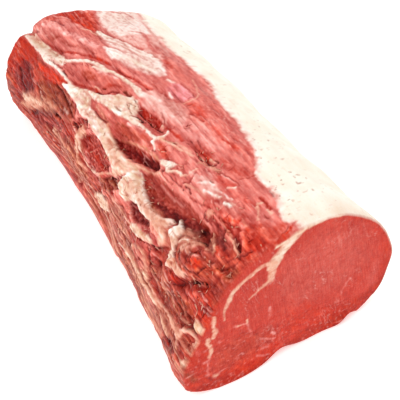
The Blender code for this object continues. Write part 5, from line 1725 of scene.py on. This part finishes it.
@dataclass
class Shreds:
    """Torn fibres and flecks of fat that stand off the rib side, scattered by Geometry Nodes."""

    name: str = "torn_fibres"
    count: int = 640
    gathered: float = 0.62              # share that lies near the places the photograph shows them
    spread_mm: float = 5.0
    length_mm: tuple[float, float] = (2.2, 8.0)
    thickness_mm: float = 1.0
    flatness: float = 0.5
    sides: int = 6
    seed: int = 91

    def host(self) -> bpy.types.Object:
        """Points just under the skin, each with its lie, its colour and its share of fat."""
        rng = np.random.default_rng(self.seed)
        anchors = np.array([SIGHT.place(*pixel) for pixel in read_path(TORN)])
        near = anchors[rng.integers(len(anchors), size=self.count)]
        near = near + rng.normal(0.0, self.spread_mm, (self.count, 2))
        gathered = rng.random(self.count) < self.gathered
        along = np.where(gathered, near[:, 0] * MM / LOFT.length, rng.uniform(0.03, 0.85, self.count))
        station = np.where(gathered, LOFT.knot_at(near[:, 1]), rng.uniform(1.2, 4.8, self.count))
        along = np.clip(along, 0.02, 0.96)
        canvas = SkinStrip("shreds", 0.0, 1.0, 1.0).paint(along, station)
        points = LOFT.skin(along, station, (canvas.lift - 0.5) * MM)
        ahead = LOFT.skin(along - 0.004, station) - LOFT.skin(along, station)
        beside = LOFT.skin(along, station + 0.03) - LOFT.skin(along, station)
        sides = (ahead, beside, np.cross(ahead, beside))
        ahead, beside, outward = (side / np.linalg.norm(side, axis=1, keepdims=True) for side in sides)
        yaw = rng.normal(0.0, 0.7, self.count)[:, None]
        lie = ahead * np.cos(yaw) + beside * np.sin(yaw) + outward * rng.uniform(0.05, 0.45, (self.count, 1))
        pale = (rng.random(self.count) < 0.4) * rng.uniform(0.2, 0.8, self.count)
        canvas.blend(PEACH, pale)
        canvas.shade(rng.normal(0.0, 0.16, self.count))
        mesh = bpy.data.meshes.new(self.name)
        mesh.from_pydata((points - LOFT.middle).tolist(), [], [])
        tint(mesh, canvas.tints)
        mesh.attributes.new("lie", "FLOAT_VECTOR", "POINT").data.foreach_set("vector", lie.ravel())
        return add_object(self.name, mesh)

    def scatter(self, material: bpy.types.Material) -> bpy.types.NodeTree:
        """Node tree that sets a tapering shred on each point."""
        tree = bpy.data.node_groups.new("scatter shreds", "GeometryNodeTree")
        face = tree.interface
        face.new_socket("Geometry", in_out="INPUT", socket_type="NodeSocketGeometry")
        face.new_socket("Geometry", in_out="OUTPUT", socket_type="NodeSocketGeometry")
        for name in ("Shortest", "Longest", "Thickness"):
            face.new_socket(name, in_out="INPUT", socket_type="NodeSocketFloat")
        face.new_socket("Seed", in_out="INPUT", socket_type="NodeSocketInt")
        given = add_node(tree, "NodeGroupInput").outputs
        length = add_node(tree, "FunctionNodeRandomValue", data_type="FLOAT")
        tree.links.new(given["Shortest"], length.inputs[2])
        tree.links.new(given["Longest"], length.inputs[3])
        tree.links.new(given["Seed"], length.inputs["Seed"])
        flat = add_node(tree, "ShaderNodeMath", {
            0: given["Thickness"], 1: self.flatness}, operation="MULTIPLY").outputs[0]
        size = add_node(tree, "ShaderNodeCombineXYZ", {
            "X": given["Thickness"], "Y": flat, "Z": length.outputs[1]}).outputs[0]
        lie = add_node(tree, "GeometryNodeInputNamedAttribute", {
            "Name": "lie"}, data_type="FLOAT_VECTOR").outputs[0]
        turn = add_node(tree, "FunctionNodeAlignRotationToVector", {"Vector": lie}, axis="Z").outputs[0]
        shred = add_node(tree, "GeometryNodeMeshCone", {
            "Vertices": self.sides, "Radius Top": 0.0, "Radius Bottom": 1.0, "Depth": 1.0}).outputs["Mesh"]
        set_out = add_node(tree, "GeometryNodeInstanceOnPoints", {
            "Points": given["Geometry"], "Instance": shred, "Rotation": turn, "Scale": size}).outputs[0]
        whole = add_node(tree, "GeometryNodeRealizeInstances", {"Geometry": set_out}).outputs[0]
        smooth = add_node(tree, "GeometryNodeSetShadeSmooth", {"Geometry": whole}).outputs[0]
        dressed = add_node(tree, "GeometryNodeSetMaterial", {"Geometry": smooth, "Material": material})
        add_node(tree, "NodeGroupOutput", {"Geometry": dressed.outputs[0]})
        return tree

    def make(self, material: bpy.types.Material) -> bpy.types.Object:
        """Scatter the shreds and turn them into a plain mesh."""
        piece = self.host()
        modifier = piece.modifiers.new("scatter", "NODES")
        modifier.node_group = self.scatter(material)
        values = {"Shortest": self.length_mm[0] * MM, "Longest": self.length_mm[1] * MM,
                  "Thickness": self.thickness_mm * MM, "Seed": self.seed}
        for item in modifier.node_group.interface.items_tree:
            if item.in_out == "INPUT" and item.name in values:
                modifier[item.identifier] = values[item.name]
        graph = bpy.context.evaluated_depsgraph_get()
        mesh = bpy.data.meshes.new_from_object(piece.evaluated_get(graph), depsgraph=graph)
        piece.modifiers.clear()
        piece.data = mesh
        return piece


@dataclass
class Studio:
    """Plain pale floor, soft light and the camera."""

    world_strength: float = 0.77
    key_watts: float = 10.0
    key_place: tuple[float, float, float] = (-1.0, -0.5, 1.3)
    lamp_size: float = 0.9
    fill_watts: float = 5.0
    fill_place: tuple[float, float, float] = (1.3, 0.3, 1.0)
    floor_width: float = 12.0
    floor_glow: float = 0.35    # a light table, so that the floor stays white under the joint

    def floor(self) -> None:
        """A wide white floor."""
        mesh = bpy.data.meshes.new("floor")
        side = 0.5 * self.floor_width
        corners = [(-side, -side, 0), (side, -side, 0), (side, side, 0), (-side, side, 0)]
        mesh.from_pydata(corners, [], [(0, 1, 2, 3)])
        material = bpy.data.materials.new("white studio floor")
        material.use_nodes = True
        shader = material.node_tree.nodes["Principled BSDF"]
        shader.inputs["Base Color"].default_value = linear("#fbfaf8")
        shader.inputs["Roughness"].default_value = 0.9
        shader.inputs["Specular IOR Level"].default_value = 0.1
        shader.inputs["Emission Color"].default_value = linear("#ffffff")
        shader.inputs["Emission Strength"].default_value = self.floor_glow
        mesh.materials.append(material)
        add_object("floor", mesh)

    def light(self) -> None:
        """White surroundings, one large soft lamp and a weaker one across from it."""
        world = bpy.data.worlds.new("studio")
        world.use_nodes = True
        background = world.node_tree.nodes["Background"]
        background.inputs["Color"].default_value = (1.0, 1.0, 1.0, 1.0)
        background.inputs["Strength"].default_value = self.world_strength
        bpy.context.scene.world = world
        lamps = (("key", self.key_watts, self.key_place), ("fill", self.fill_watts, self.fill_place))
        for name, watts, place in lamps:
            lamp = bpy.data.lights.new(name, "AREA")
            lamp.energy = watts
            lamp.size = self.lamp_size
            holder = add_object(name, lamp)
            holder.location = place
            holder.rotation_euler = (-Vector(place)).to_track_quat("-Z", "Y").to_euler()

    def camera(self) -> None:
        """The camera of the photograph."""
        across, upright, back = VIEW.axes
        place = VIEW.place - LOFT.middle
        lens = bpy.data.cameras.new("camera")
        lens.lens = VIEW.lens
        lens.sensor_width = VIEW.sensor
        camera = add_object("camera", lens)
        camera.matrix_world = Matrix((
            (across[0], upright[0], back[0], place[0]),
            (across[1], upright[1], back[1], place[1]),
            (across[2], upright[2], back[2], place[2]),
            (0, 0, 0, 1)))
        bpy.context.scene.camera = camera


@dataclass
class RibEyeRoll:
    """The whole joint: four strips of skin, two cuts and the shreds that stand off the rib side."""

    finish: RawBeef = RawBeef()
    strips: list[SkinStrip] = field(default_factory=lambda: [
        SkinStrip("rib_side", -0.4, 4.0, 0.85),
        SkinStrip("cap_lean", 4.0, 7.2, 0.85),
        SkinStrip("fat_cover", 7.2, 12.2, 1.3),
        SkinStrip("underside", 12.2, 16.6, 2.5)])
    cuts: list[CutFace] = field(default_factory=lambda: [
        CutFace("near_cut", False, 560, 84),
        CutFace("far_cut", True, 420, 60)])
    shreds: Shreds = field(default_factory=Shreds)

    def make(self) -> list[bpy.types.Object]:
        """Build every piece."""
        material = self.finish.material()
        pieces = [part.make(material) for part in (*self.strips, *self.cuts, self.shreds)]
        return [join_frame(piece) for piece in pieces]


def main() -> None:
    """Build the joint and the studio."""
    logging.basicConfig(level=logging.INFO, format="%(name)s %(message)s", stream=sys.stdout)
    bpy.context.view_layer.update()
    scene = bpy.context.scene
    scene.view_settings.view_transform = "Standard"
    studio = Studio()
    studio.camera()
    studio.light()
    studio.floor()
    RibEyeRoll().make()


if __name__ == "__main__":
    main()
